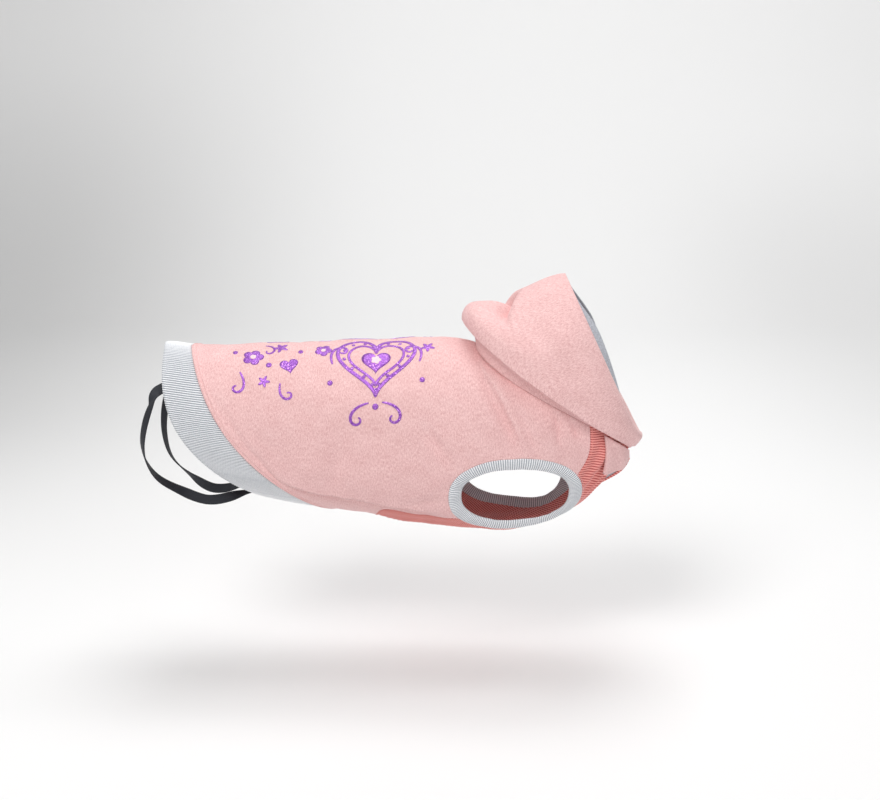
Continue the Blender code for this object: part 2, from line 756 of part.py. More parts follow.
def make_strap(name, side):
    """Flat elastic loop that goes round the back of a hind leg."""
    line, facing = strap_route(side)
    ahead = np.gradient(line, axis=0)
    ahead = ahead / np.linalg.norm(ahead, axis=1, keepdims=True)
    facing = facing - ahead * np.sum(facing * ahead, axis=1, keepdims=True)
    facing = facing / np.linalg.norm(facing, axis=1, keepdims=True)
    across = np.cross(ahead, facing) * STRAP_WIDTH / 2.0
    half_wall = facing * STRAP_WALL / 2.0
    outer = np.stack([line - across + half_wall, line + across + half_wall], axis=1)
    inner = np.stack([line - across - half_wall, line + across - half_wall], axis=1)
    cells = [(row, 0) for row in range(STRAP_STEPS)]
    return solid_from(name, outer, inner, cells, False, "elastic")


def build() -> None:
    """Make every piece of the garment."""
    clear_scene()
    body = make_body_panel()
    chest = make_chest_panel()
    for side, word in ((-1.0, "right"), (1.0, "left")):
        cutter = make_armhole_cutter(side)
        cut(body, cutter)
        cut(chest, cutter)
        make_binding(f"armhole_binding_{word}", side)
        make_strap(f"leg_strap_{word}", side)
    make_hem_band()
    make_hood_shell()
    make_hood_lining()
    make_collar_front()
    make_collar_flap()


build()
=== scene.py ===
"""A small dog's hooded sweatshirt in its worn form, on a pale studio floor.

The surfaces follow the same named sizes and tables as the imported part, only
finer: ribs, folds, seams, stitches and the glitter print are added here.
Metres, +X towards the hood, +Y to the garment's left, +Z up.
"""
import logging
import math
from dataclasses import dataclass, field
from enum import Enum
from typing import Callable, Iterable, NamedTuple, Optional, Sequence

import bpy
import numpy as np
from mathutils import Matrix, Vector


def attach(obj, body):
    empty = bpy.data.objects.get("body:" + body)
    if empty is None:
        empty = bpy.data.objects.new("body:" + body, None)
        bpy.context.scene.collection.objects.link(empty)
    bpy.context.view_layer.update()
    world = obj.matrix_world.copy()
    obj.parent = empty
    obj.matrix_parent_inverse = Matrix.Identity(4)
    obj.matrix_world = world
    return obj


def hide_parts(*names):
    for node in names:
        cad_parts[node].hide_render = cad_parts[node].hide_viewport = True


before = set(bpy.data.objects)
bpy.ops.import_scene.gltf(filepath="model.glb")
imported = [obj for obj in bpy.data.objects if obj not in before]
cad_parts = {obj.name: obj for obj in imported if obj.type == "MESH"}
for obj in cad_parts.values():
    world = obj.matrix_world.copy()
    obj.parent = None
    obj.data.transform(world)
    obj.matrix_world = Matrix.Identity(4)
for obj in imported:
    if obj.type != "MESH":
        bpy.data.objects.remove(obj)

LOG = logging.getLogger("sweatshirt")
Array = np.ndarray
TURN = 2.0 * math.pi


class Side(Enum):
    """Which half of the garment a paired piece is on."""

    RIGHT = -1.0
    LEFT = 1.0


@dataclass(frozen=True)
class Sizes:
    """Driving sizes of the garment, in metres."""

    back: float = 0.315
    depth: float = 0.195
    width: float = 0.150
    hood_reach: float = 0.080
    hood_height: float = 0.072
    hood_width: float = 0.148
    throat_rise: float = 0.014
    fleece: float = 0.0024
    rib: float = 0.0022
    lining: float = 0.0012
    binding_width: float = 0.0115
    strap_width: float = 0.010
    strap: float = 0.0013
    rib_pitch: float = 0.0024


SIZE = Sizes()


class BodySection(NamedTuple):
    """One slanted ring: along, bow and sway in backs, rise and drop in depths, half width in widths."""

    name: str
    top_along: float
    top_rise: float
    belly_along: float
    belly_drop: float
    half_width: float
    bow: float
    sway: float


BODY_SECTIONS = (
    BodySection("free_edge", -0.483, 0.009, -0.140, 0.802, 0.413, 0.105, -0.013),
    BodySection("hem_seam", -0.400, -0.007, 0.038, 0.858, 0.420, 0.078, -0.013),
    BodySection("loin", -0.190, 0.001, 0.184, 0.896, 0.433, 0.042, -0.006),
    BodySection("waist", 0.016, 0.011, 0.330, 0.940, 0.453, 0.020, 0.000),
    BodySection("ribs", 0.190, 0.022, 0.476, 0.966, 0.480, 0.008, 0.000),
    BodySection("shoulder", 0.356, 0.029, 0.644, 0.966, 0.500, 0.002, 0.004),
    BodySection("chest", 0.438, 0.027, 0.820, 0.838, 0.487, 0.004, 0.014),
    BodySection("front", 0.483, 0.014, 0.897, 0.705, 0.447, -0.004, 0.025),
    BodySection("neck_seam", 0.517, -0.007, 0.965, 0.530, 0.387, -0.012, 0.038),
)
FREE_EDGE, HEM_SEAM, NECK_SEAM = 0.0, 1.0, 8.0


class HoodSection(NamedTuple):
    """One ring of the hood after the neck seam, in shares of the hood's sizes."""

    name: str
    top_along: float
    top_rise: float
    throat_along: float
    throat_rise: float
    half_width: float
    follow: float


HOOD_SECTIONS = (
    HoodSection("tuck", -0.160, 0.155, 0.38, -0.12, 0.430, 0.60),
    HoodSection("fold", -0.250, 0.290, 0.78, 0.02, 0.500, 0.15),
    HoodSection("back", -0.255, 0.460, 1.08, 0.30, 0.505, 0.00),
    HoodSection("shoulder", -0.160, 0.590, 1.22, 0.52, 0.502, 0.00),
    HoodSection("lump", 0.050, 0.640, 1.30, 0.68, 0.492, 0.00),
    HoodSection("saddle", 0.260, 0.690, 1.32, 0.80, 0.478, 0.00),
    HoodSection("crown", 0.480, 0.790, 1.30, 0.90, 0.455, 0.00),
    HoodSection("brow", 0.770, 0.930, 1.20, 0.98, 0.408, 0.00),
    HoodSection("opening", 1.000, 0.995, 0.95, 1.02, 0.345, 0.00),
)
OPENING = float(len(HOOD_SECTIONS))


class SoftFold(NamedTuple):
    """A fold or dent seen from the side: places in backs and depths, sizes in backs, sink in metres."""

    name: str
    along: float
    drop: float
    half_length: float
    half_width: float
    slant_deg: float
    sink: float


SOFT_FOLDS = (
    SoftFold("flank_dent", 0.070, 0.520, 0.095, 0.026, 80.0, 0.0034),
    SoftFold("rib_dent", 0.375, 0.440, 0.070, 0.017, -50.0, 0.0034),
    SoftFold("shoulder_drag", 0.575, 0.290, 0.130, 0.020, -62.0, 0.0050),
    SoftFold("shoulder_dip", 0.650, 0.380, 0.080, 0.014, -66.0, 0.0040),
    SoftFold("neck_pleat", 0.745, 0.335, 0.060, 0.016, -86.0, 0.0036),
    SoftFold("throat_pleat", 0.800, 0.345, 0.040, 0.013, -74.0, 0.0034),
    SoftFold("hem_dip", -0.130, 0.480, 0.090, 0.022, -52.0, 0.0022),
    SoftFold("loin_dip", -0.230, 0.150, 0.070, 0.026, -72.0, 0.0016),
    SoftFold("armhole_drag", 0.420, 0.640, 0.070, 0.016, 38.0, 0.0020),
    SoftFold("armhole_pull", 0.330, 0.760, 0.080, 0.018, 12.0, 0.0020),
)


class SharpFold(NamedTuple):
    """A fold line with an overhang, from one point seen from the side to another.

    Above and below are how far the cloth stands out over the line and sinks
    under it; the spreads say how fast either fades away from the line.
    """

    name: str
    x0: float
    z0: float
    x1: float
    z1: float
    bow: float
    above: float
    below: float
    above_spread: float
    below_spread: float


SHARP_FOLDS = (
    SharpFold("hem_drag", -0.094, -0.042, -0.030, -0.134, 0.001, 0.0011, 0.0024, 0.011, 0.009),
    SharpFold("neck_pull", 0.160, -0.012, 0.199, -0.086, -0.003, 0.0022, 0.0028, 0.011, 0.010),
    SharpFold("front_pleat", 0.232, -0.046, 0.238, -0.086, 0.000, 0.0016, 0.0022, 0.007, 0.006),
    SharpFold("front_tuck", 0.246, -0.050, 0.254, -0.078, 0.000, 0.0014, 0.0026, 0.005, 0.006),
    SharpFold("flank_crease", 0.108, -0.060, 0.128, -0.086, 0.002, 0.0007, 0.0012, 0.010, 0.009),
)


class FoldStop(NamedTuple):
    """A place on the line of the long fold under the flank: section, and half turns from the spine."""

    section: float
    share: float


LONG_FOLD = (
    FoldStop(1.10, 0.640),
    FoldStop(1.31, 0.680),
    FoldStop(1.58, 0.709),
    FoldStop(2.04, 0.722),
    FoldStop(2.97, 0.742),
    FoldStop(3.81, 0.766),
    FoldStop(4.60, 0.785),
)


class ChestEdge(NamedTuple):
    """Half the chest panel's spread around the belly, in half turns."""

    section: float
    spread: float


CHEST_EDGE = (
    ChestEdge(0.00, 0.105),
    ChestEdge(2.05, 0.105),
    ChestEdge(2.30, 0.180),
    ChestEdge(3.20, 0.208),
    ChestEdge(5.00, 0.238),
    ChestEdge(6.60, 0.296),
    ChestEdge(7.30, 0.334),
    ChestEdge(8.00, 0.405),
)
CHEST_START = 2.05


def smooth_rows(rows: Sequence, places: Iterable[float], wanted: Array) -> Array:
    """Read a table between its rows on one smooth curve.

    Args:
        rows: The table's numbers, a row for each place.
        places: Rising places of the rows.
        wanted: Places to read at.

    Returns:
        The values at the wanted places, one more axis long.
    """
    values, places = np.array(rows, dtype=float), np.array(list(places), dtype=float)
    wanted = np.clip(np.asarray(wanted, dtype=float), places[0], places[-1])
    steps = np.diff(places)[:, None]
    rises = np.diff(values, axis=0) / steps
    slopes = np.empty_like(values)
    slopes[1:-1] = (rises[:-1] * steps[1:] + rises[1:] * steps[:-1]) / (steps[:-1] + steps[1:])
    slopes[0], slopes[-1] = rises[0], rises[-1]
    span = np.clip(np.searchsorted(places, wanted, side="right") - 1, 0, len(places) - 2)
    width = (places[span + 1] - places[span])[..., None]
    t = (wanted - places[span])[..., None] / width
    rise = t * t * (3.0 - 2.0 * t)
    blend = values[span] * (1.0 - rise) + values[span + 1] * rise
    pull = slopes[span] * (t - 2.0 * t**2 + t**3) + slopes[span + 1] * (t**3 - t**2)
    return blend + pull * width


def ease(value: Array, low: float, high: float) -> Array:
    """Return a share that goes smoothly from 0 at low to 1 at high."""
    t = np.clip((value - low) / (high - low), 0.0, 1.0)
    return t * t * (3.0 - 2.0 * t)


def unit(vectors: Array) -> Array:
    """Return vectors scaled to length one."""
    return vectors / np.maximum(np.linalg.norm(vectors, axis=-1, keepdims=True), 1e-12)


def ripple(x: Array, z: Array, seed: int, wave: float, count: int = 14) -> Array:
    """Return gentle random waves over a plane, from -1 to 1 or so.

    Args:
        x: First coordinate in metres.
        z: Second coordinate in metres.
        seed: Which waves to use.
        wave: Mean wavelength in metres.
        count: How many waves are added.
    """
    maker = np.random.default_rng(seed)
    total = np.zeros(np.broadcast(x, z).shape)
    for _ in range(count):
        heading, phase = maker.uniform(0.0, TURN, 2)
        length = wave * maker.uniform(0.7, 1.6)
        total = total + np.sin(TURN * (x * math.cos(heading) + z * math.sin(heading)) / length + phase)
    return total / math.sqrt(count)


class TubeForm:
    """A tube of slanted rings, given by a section number and an angle from the top."""

    STEP = 1e-4

    def __init__(self, rows: Sequence, places: Sequence[float]) -> None:
        """Keep the ring sizes.

        Args:
            rows: For each ring: top x, top z, low x, low z, half width, bow, sway.
            places: Distance-like places of the rings, for even smoothing.
        """
        self.rows = rows
        self.places = list(places)

    def rings(self, section: Array) -> Array:
        """Return ring sizes at section numbers."""
        counts = range(len(self.places))
        return smooth_rows(self.rows, self.places, np.interp(section, counts, self.places))

    def plain(self, section: Array, angle: Array) -> Array:
        """Return points of the plain outside, without folds."""
        section, angle = np.broadcast_arrays(section, angle)
        top_x, top_z, low_x, low_z, width, bow, sway = np.moveaxis(self.rings(section), -1, 0)
        cosine, sine = np.cos(angle), np.sin(angle)
        x = (top_x + low_x) / 2.0 + (top_x - low_x) / 2.0 * cosine
        x = x - bow * sine**2 - sway * np.sin(2.0 * angle) * np.sign(sine)
        z = (top_z + low_z) / 2.0 + (top_z - low_z) / 2.0 * cosine
        return np.stack([x, -width * sine, z], axis=-1)

    def normals(self, section: Array, angle: Array) -> Array:
        """Return outward normals of the plain outside."""
        last = len(self.places) - 1
        inside = np.clip(section, 2.0 * self.STEP, last - 2.0 * self.STEP)
        along = self.plain(inside + self.STEP, angle) - self.plain(inside - self.STEP, angle)
        around = self.plain(inside, angle + self.STEP) - self.plain(inside, angle - self.STEP)
        return -unit(np.cross(along, around))

    def relief(self, section: Array, angle: Array, points: Array) -> Array:
        """Return how far folds stand out at points of the plain outside."""
        return np.zeros(points.shape[:-1])

    def skin(self, section: Array, angle: Array, lift: Array = 0.0) -> Array:
        """Return the folded outside, moved outward by lift."""
        section, angle = np.broadcast_arrays(section, angle)
        points = self.plain(section, angle)
        out = self.relief(section, angle, points) + lift
        return points + self.normals(section, angle) * out[..., None]


class BodyForm(TubeForm):
    """The garment's body, from the hem's free edge at 0 to the neck seam at 8."""

    def __init__(self) -> None:
        """Turn the body's table into metres."""
        rows = [
            (
                row.top_along * SIZE.back,
                row.top_rise * SIZE.depth,
                row.belly_along * SIZE.back,
                -row.belly_drop * SIZE.depth,
                row.half_width * SIZE.width,
                row.bow * SIZE.back,
                row.sway * SIZE.back,
            )
            for row in BODY_SECTIONS
        ]
        super().__init__(rows, [(row.top_along + row.belly_along) / 2.0 for row in BODY_SECTIONS])

    @staticmethod
    def soft(points: Array) -> Array:
        """Return how far the soft folds and dents sink."""
        x, z = points[..., 0], points[..., 2]
        sink = np.zeros_like(x)
        for fold in SOFT_FOLDS:
            slant = math.radians(fold.slant_deg)
            across, above = x - fold.along * SIZE.back, z + fold.drop * SIZE.depth
            run = (across * math.cos(slant) + above * math.sin(slant)) / (fold.half_length * SIZE.back)
            off = (above * math.cos(slant) - across * math.sin(slant)) / (fold.half_width * SIZE.back)
            sink = sink + fold.sink * np.exp(-(run**2) - off**2)
        return sink

    @staticmethod
    def sharp(points: Array) -> Array:
        """Return how far the overhanging folds stand out."""
        x, z = points[..., 0], points[..., 2]
        out = np.zeros_like(x)
        for fold in SHARP_FOLDS:
            run_x, run_z = fold.x1 - fold.x0, fold.z1 - fold.z0
            length = math.hypot(run_x, run_z)
            share = ((x - fold.x0) * run_x + (z - fold.z0) * run_z) / length**2
            off = ((z - fold.z0) * run_x - (x - fold.x0) * run_z) / length
            off = off + fold.bow * 4.0 * share * (1.0 - share)
            ends = ease(share, -0.10, 0.25) * (1.0 - ease(share, 0.75, 1.12))
            over = fold.above * np.exp(-np.maximum(off, 0.0) / fold.above_spread)
            under = -fold.below * np.exp(np.minimum(off, 0.0) / fold.below_spread)
            out = out + ends * (under + (over - under) * ease(off, -0.0016, 0.0008))
        return out

    @staticmethod
    def long_fold(section: Array, turned: Array) -> Array:
        """Return how far the long fold under the flank stands out, with the dip below it."""
        rows = [(stop.share,) for stop in LONG_FOLD]
        line = smooth_rows(rows, [stop.section for stop in LONG_FOLD], section)[..., 0] * math.pi
        off = (line - turned) * 0.5 * SIZE.width
        ends = ease(section, 1.08, 1.45) * (1.0 - ease(section, 2.9, 3.7))
        over = 0.0032 * np.exp(-np.maximum(off, 0.0) / 0.011)
        under = -0.0068 * np.exp(np.minimum(off, 0.0) / 0.007)
        return ends * (under + (over - under) * ease(off, -0.0026, 0.0004))

    def relief(self, section: Array, angle: Array, points: Array) -> Array:
        """Return the body's folds, faded at the spine and the seams."""
        x, z = points[..., 0], points[..., 2]
        turned = np.abs(np.arctan2(np.sin(angle), np.cos(angle)))
        side = ease(turned, 0.15, 0.60)
        seams = ease(section, HEM_SEAM, HEM_SEAM + 0.3) * (1.0 - ease(section, NECK_SEAM - 0.4, NECK_SEAM))
        arc = np.sign(points[..., 1]) * 0.31
        slack = 0.00070 * ripple(x + arc, z, 3, 0.050) + 0.00022 * ripple(x + arc, z, 7, 0.021)
        folds = (self.sharp(points) - self.soft(points)) * side + self.long_fold(section, turned)
        return (folds + slack) * seams


class HoodDent(NamedTuple):
    """A soft hollow in the hood's side, seen from the side, in metres and degrees."""

    along: float
    above: float
    length: float
    width: float
    slant_deg: float
    sink: float


HOOD_DENTS = (
    HoodDent(0.217, 0.020, 0.026, 0.010, -62.0, 0.0026),
    HoodDent(0.245, -0.020, 0.030, 0.011, -38.0, 0.0022),
    HoodDent(0.268, 0.000, 0.026, 0.007, -58.0, 0.0016),
    HoodDent(0.200, -0.005, 0.022, 0.008, -35.0, 0.0014),
)


class HoodForm(TubeForm):
    """The hood, from the neck seam at 0 to its opening at 9."""

    def __init__(self, body: BodyForm) -> None:
        """Turn the hood's table into metres, starting on the body's last ring.

        Args:
            body: The body that the hood stands on.
        """
        neck = BODY_SECTIONS[int(NECK_SEAM)]
        rows = [tuple(body.rings(NECK_SEAM))]
        rows += [
            (
                neck.top_along * SIZE.back + row.top_along * SIZE.hood_reach,
                neck.top_rise * SIZE.depth + row.top_rise * SIZE.hood_height,
                neck.belly_along * SIZE.back + row.throat_along * SIZE.throat_rise,
                -neck.belly_drop * SIZE.depth + row.throat_rise * SIZE.throat_rise,
                row.half_width * SIZE.hood_width,
                row.follow * neck.bow * SIZE.back,
                row.follow * neck.sway * SIZE.back,
            )
            for row in HOOD_SECTIONS
        ]
        super().__init__(rows, range(len(rows)))

    def relief(self, section: Array, angle: Array, points: Array) -> Array:
        """Return the nape's crease and the hood's slack."""
        turned = np.abs(np.arctan2(np.sin(angle), np.cos(angle)))
        off = section - (6.45 - 2.20 * turned)
        depth = 0.0215 * (1.0 - ease(turned, 0.12, 0.88))
        lump = np.exp(np.minimum(off, 0.0) / 0.55)
        crown = (1.0 - np.clip(off / 0.85, 0.0, 1.0)) ** 3.2
        crease = -depth * np.where(off < 0.0, lump, crown) * (1.0 - ease(turned, 0.55, 0.85))
        rim = np.sin(angle / 2.0) ** 2
        tuck = -0.0058 * ease(section, 0.2, 1.0) * (1.0 - ease(section, 2.18, 2.38)) * (1.0 - 0.5 * rim)
        seam = ease(section, 0.0, 1.5)
        edge = 1.0 - ease(section, OPENING - 0.8, OPENING)
        arc = np.sign(points[..., 1]) * 0.27
        slack = 0.0007 * ripple(points[..., 0] + arc, points[..., 2], 11, 0.050)
        x, z = points[..., 0], points[..., 2]
        dents = 0.0
        for along, above, length, width, slant, sink in HOOD_DENTS:
            heading = math.radians(slant)
            run = ((x - along) * math.cos(heading) + (z - above) * math.sin(heading)) / length
            side = ((z - above) * math.cos(heading) - (x - along) * math.sin(heading)) / width
            dents = dents - sink * np.exp(-(run**2) - side**2)
        return (slack + dents) * seam * edge + crease + tuck


BODY = BodyForm()
HOOD = HoodForm(BODY)


def chest_spread(section: Array) -> Array:
    """Return half the chest panel's spread around the belly, in radians."""
    rows = [(row.spread,) for row in CHEST_EDGE]
    return smooth_rows(rows, [row.section for row in CHEST_EDGE], section)[..., 0] * math.pi


class Wire:
    """A shader or geometry value that is worked on in plain expressions."""

    def __init__(self, tree: "Tree", socket: bpy.types.NodeSocket) -> None:
        """Wrap an output socket.

        Args:
            tree: The tree that the socket is in.
            socket: The output socket.
        """
        self.tree = tree
        self.socket = socket

    def math(self, operation: str, *values: object) -> "Wire":
        """Add a Math node of this value and others, in that order."""
        names = ("Value", "Value_001", "Value_002")
        node = self.tree.add(self.tree.MATH, {"operation": operation}, dict(zip(names, (self, *values))))
        return Wire(self.tree, node.outputs[0])

    def flipped(self, operation: str, value: object) -> "Wire":
        """Add a Math node with the other value first."""
        node = self.tree.add(self.tree.MATH, {"operation": operation}, {"Value": value, "Value_001": self})
        return Wire(self.tree, node.outputs[0])

    def __add__(self, other: object) -> "Wire":
        return self.math("ADD", other)

    def __radd__(self, other: object) -> "Wire":
        return self.flipped("ADD", other)

    def __sub__(self, other: object) -> "Wire":
        return self.math("SUBTRACT", other)

    def __rsub__(self, other: object) -> "Wire":
        return self.flipped("SUBTRACT", other)

    def __mul__(self, other: object) -> "Wire":
        return self.math("MULTIPLY", other)

    def __rmul__(self, other: object) -> "Wire":
        return self.flipped("MULTIPLY", other)

    def __truediv__(self, other: object) -> "Wire":
        return self.math("DIVIDE", other)

    def __rtruediv__(self, other: object) -> "Wire":
        return self.flipped("DIVIDE", other)

    def __pow__(self, other: object) -> "Wire":
        return self.math("POWER", other)

    def __neg__(self) -> "Wire":
        return self.math("MULTIPLY", -1.0)

    def sine(self) -> "Wire":
        """Return the sine of the value."""
        return self.math("SINE")

    def size(self) -> "Wire":
        """Return the value without its sign."""
        return self.math("ABSOLUTE")

    def part(self) -> "Wire":
        """Return the part after the point."""
        return self.math("FRACT")

    def held(self, low: float = 0.0, high: float = 1.0) -> "Wire":
        """Return the value kept between two limits."""
        return self.math("MAXIMUM", low).math("MINIMUM", high)

    def smooth(self, low: float, high: float) -> "Wire":
        """Return a share that goes smoothly from 0 at low to 1 at high."""
        t = ((self - low) / (high - low)).held()
        return t * t * (3.0 - 2.0 * t)


class Tree:
    """A node tree that is written by one method and by expressions."""

    MATH = "ShaderNodeMath"

    def __init__(self, tree: bpy.types.NodeTree) -> None:
        """Wrap a node tree, emptied."""
        self.tree = tree
        self.tree.nodes.clear()

    @staticmethod
    def find(sockets: bpy.types.bpy_prop_collection, name: str) -> bpy.types.NodeSocket:
        """Return the socket with this identifier, or else this name."""
        for socket in sockets:
            if socket.identifier == name:
                return socket
        return sockets[name]

    def add(self, kind: str, settings: Optional[dict] = None, inputs: Optional[dict] = None) -> bpy.types.Node:
        """Add a node.

        Args:
            kind: The node's type.
            settings: Properties to set on it.
            inputs: Input sockets by identifier or name, each a value, a wire or a socket.

        Returns:
            The new node.
        """
        node = self.tree.nodes.new(kind)
        for name, value in (settings or {}).items():
            setattr(node, name, value)
        for name, value in (inputs or {}).items():
            socket = self.find(node.inputs, name)
            if isinstance(value, Wire):
                self.tree.links.new(value.socket, socket)
            elif isinstance(value, bpy.types.NodeSocket):
                self.tree.links.new(value, socket)
            else:
                socket.default_value = value
        return node

    def out(self, node: bpy.types.Node, name: str = "") -> Wire:
        """Return one output of a node as a value, the first one by default."""
        return Wire(self, self.find(node.outputs, name) if name else node.outputs[0])


Colour = tuple[float, float, float]


def linear(red: int, green: int, blue: int) -> Colour:
    """Return a colour read in a picture's 0 to 255 as scene-linear numbers."""

    def one(value: float) -> float:
        share = value / 255.0
        return share / 12.92 if share <= 0.04045 else ((share + 0.055) / 1.055) ** 2.4

    return one(red), one(green), one(blue)


class ShaderTree(Tree):
    """A material's tree, which ends in one Principled shader."""

    def __init__(self, name: str) -> None:
        """Make the material."""
        self.material = bpy.data.materials.new(name)
        self.material.use_nodes = True
        super().__init__(self.material.node_tree)

    def cloth_place(self) -> tuple[Wire, Wire]:
        """Return the two cloth coordinates, in metres."""
        node = self.add("ShaderNodeAttribute", {"attribute_name": "cloth"})
        split = self.add("ShaderNodeSeparateXYZ", None, {"Vector": node.outputs["Vector"]})
        return self.out(split, "X"), self.out(split, "Y")

    def vector(self, x: object, y: object, z: object = 0.0) -> Wire:
        """Return a vector of three values."""
        return self.out(self.add("ShaderNodeCombineXYZ", None, {"X": x, "Y": y, "Z": z}))

    def noise(self, place: Wire, scale: float, detail: float = 2.0, rough: float = 0.5) -> Wire:
        """Return a noise value around one half."""
        inputs = {"Vector": place, "Scale": scale, "Detail": detail, "Roughness": rough}
        return self.out(self.add("ShaderNodeTexNoise", None, inputs), "Fac")

    def mix(self, share: object, first: object, second: object, way: str = "MIX") -> Wire:
        """Return a mixture of two colours."""
        inputs = {"Factor_Float": share, "A_Color": self.solid(first), "B_Color": self.solid(second)}
        node = self.add("ShaderNodeMix", {"data_type": "RGBA", "blend_type": way, "clamp_factor": True}, inputs)
        return self.out(node, "Result_Color")

    @staticmethod
    def solid(colour: object) -> object:
        """Return a colour with its fourth number where it is a plain one."""
        return (*colour, 1.0) if isinstance(colour, tuple) else colour

    def bump(self, height: Wire, distance: float, strength: float = 1.0) -> Wire:
        """Return a normal from a height in millimetre-like units."""
        inputs = {"Height": height, "Distance": distance, "Strength": strength}
        return self.out(self.add("ShaderNodeBump", None, inputs))

    def finish(self, **inputs: object) -> bpy.types.Material:
        """End the tree in a Principled shader with these inputs."""
        named = {name.replace("_", " ").title(): value for name, value in inputs.items()}
        named = {name.replace("Ior", "IOR"): self.solid(value) for name, value in named.items()}
        shader = self.add("ShaderNodeBsdfPrincipled", None, named)
        self.add("ShaderNodeOutputMaterial", None, {"Surface": shader.outputs[0]})
        return self.material


@dataclass(frozen=True)
class Fleece:
    """Brushed heather fleece with fine streaks along one cloth direction."""

    name: str
    light: Colour = linear(250, 213, 211)
    dark: Colour = linear(208, 152, 152)
    streak: float = 880.0
    run: float = 300.0

    def material(self) -> bpy.types.Material:
        """Return the finish as a material."""
        tree = ShaderTree(self.name)
        u, v = tree.cloth_place()
        streaks = tree.noise(tree.vector(u * self.streak, v * self.run), 1.0, 2.0, 0.6)
        specks = tree.noise(tree.vector(u * 1300.0, v * 1100.0, 3.0), 1.0, 1.0, 0.5)
        clouds = tree.noise(tree.vector(u, v, 5.0), 60.0, 3.0, 0.6)
        tone = (streaks - 0.5) * 1.5 + (specks - 0.5) * 1.2 + (clouds - 0.5) * 0.4 + 0.56
        colour = tree.mix(tone.held(), self.dark, self.light)
        height = streaks * 0.6 + specks * 0.5
        normal = tree.bump(height, 0.0006, 0.55)
        return tree.finish(
            base_color=colour,
            roughness=0.92,
            specular_ior_level=0.18,
            sheen_weight=0.35,
            sheen_roughness=0.55,
            sheen_tint=(1.0, 0.86, 0.86),
            normal=normal,
        )


@dataclass(frozen=True)
class RibKnit:
    """Ribbed heather knit, whose ribs are modelled; the shader also paints shade into the grooves."""

    name: str
    ridge: Colour
    shaded_groove: Colour
    pitch: float = SIZE.rib_pitch
    shade: float = 0.95
    mottle: float = 0.30

    def material(self) -> bpy.types.Material:
        """Return the finish as a material."""
        tree = ShaderTree(self.name)
        u, v = tree.cloth_place()
        phase = (u * (TURN / self.pitch)).math("COSINE") * 0.5 + 0.5
        heather = tree.noise(tree.vector(u * 700.0, v * 260.0, 2.0), 1.0, 2.0, 0.6)
        knit = (v * (TURN / 0.0016) + phase * 2.0).sine() * 0.5 + 0.5
        # Painted shade: the phase term pulls the colour towards the darker groove colour in every rib groove.
        tone = 1.0 - self.shade + phase * self.shade + (heather - 0.5) * self.mottle + (knit - 0.5) * 0.12
        colour = tree.mix(tone.held(), self.shaded_groove, self.ridge)
        normal = tree.bump(phase * 0.6 + knit * 0.18 + heather * 0.3, 0.0006, 0.5)
        return tree.finish(
            base_color=colour,
            roughness=0.88,
            specular_ior_level=0.2,
            sheen_weight=0.2,
            sheen_roughness=0.5,
            normal=normal,
        )


@dataclass(frozen=True)
class PlainKnit:
    """Plain jersey, tape or thread in one colour with a fine weave."""

    name: str
    colour: Colour
    spread: float = 0.18
    rough: float = 0.85
    fine: float = 900.0
    sheen: float = 0.2

    def material(self) -> bpy.types.Material:
        """Return the finish as a material."""
        tree = ShaderTree(self.name)
        u, v = tree.cloth_place()
        grain = tree.noise(tree.vector(u * self.fine, v * self.fine), 1.0, 2.0, 0.6)
        light = tuple(min(1.0, c * (1.0 + self.spread)) for c in self.colour)
        dark = tuple(c * (1.0 - self.spread) for c in self.colour)
        colour = tree.mix(((grain - 0.5) * 2.0 + 0.5).held(), dark, light)
        return tree.finish(
            base_color=colour,
            roughness=self.rough,
            specular_ior_level=0.25,
            sheen_weight=self.sheen,
            normal=tree.bump(grain, 0.0004, 0.4),
        )


@dataclass(frozen=True)
class GlitterInk:
    """Purple glitter print of dark and middle grains, with sparse bright grains that are painted glints."""

    name: str
    light: Colour = linear(196, 132, 222)
    middle: Colour = linear(168, 96, 204)
    dark: Colour = linear(122, 58, 166)

    def material(self) -> bpy.types.Material:
        """Return the finish as a material."""
        tree = ShaderTree(self.name)
        u, v = tree.cloth_place()
        place = tree.vector(u, v)
        cells = tree.add("ShaderNodeTexVoronoi", {"feature": "F1"}, {"Vector": place, "Scale": 1400.0})
        grey = tree.add("ShaderNodeSeparateColor", None, {"Color": cells.outputs["Color"]})
        grain, other = tree.out(grey, "Red"), tree.out(grey, "Green")
        base = tree.mix(grain.smooth(0.05, 0.55), self.dark, self.middle)
        # Painted glints: the sparse brightest cells are lifted to the light colour.
        colour = tree.mix(other.smooth(0.80, 0.92), base, self.light)
        return tree.finish(
            base_color=colour,
            roughness=0.32 + grain * 0.25,
            metallic=0.25 + other * 0.35,
            specular_ior_level=0.6,
            normal=tree.bump(grain, 0.0005, 0.8),
        )


@dataclass(frozen=True)
class Flake:
    """Bright violet foil of the single glitter flakes."""

    name: str
    colour: Colour = linear(214, 160, 236)

    def material(self) -> bpy.types.Material:
        """Return the finish as a material."""
        return ShaderTree(self.name).finish(base_color=self.colour, roughness=0.25, metallic=0.8)


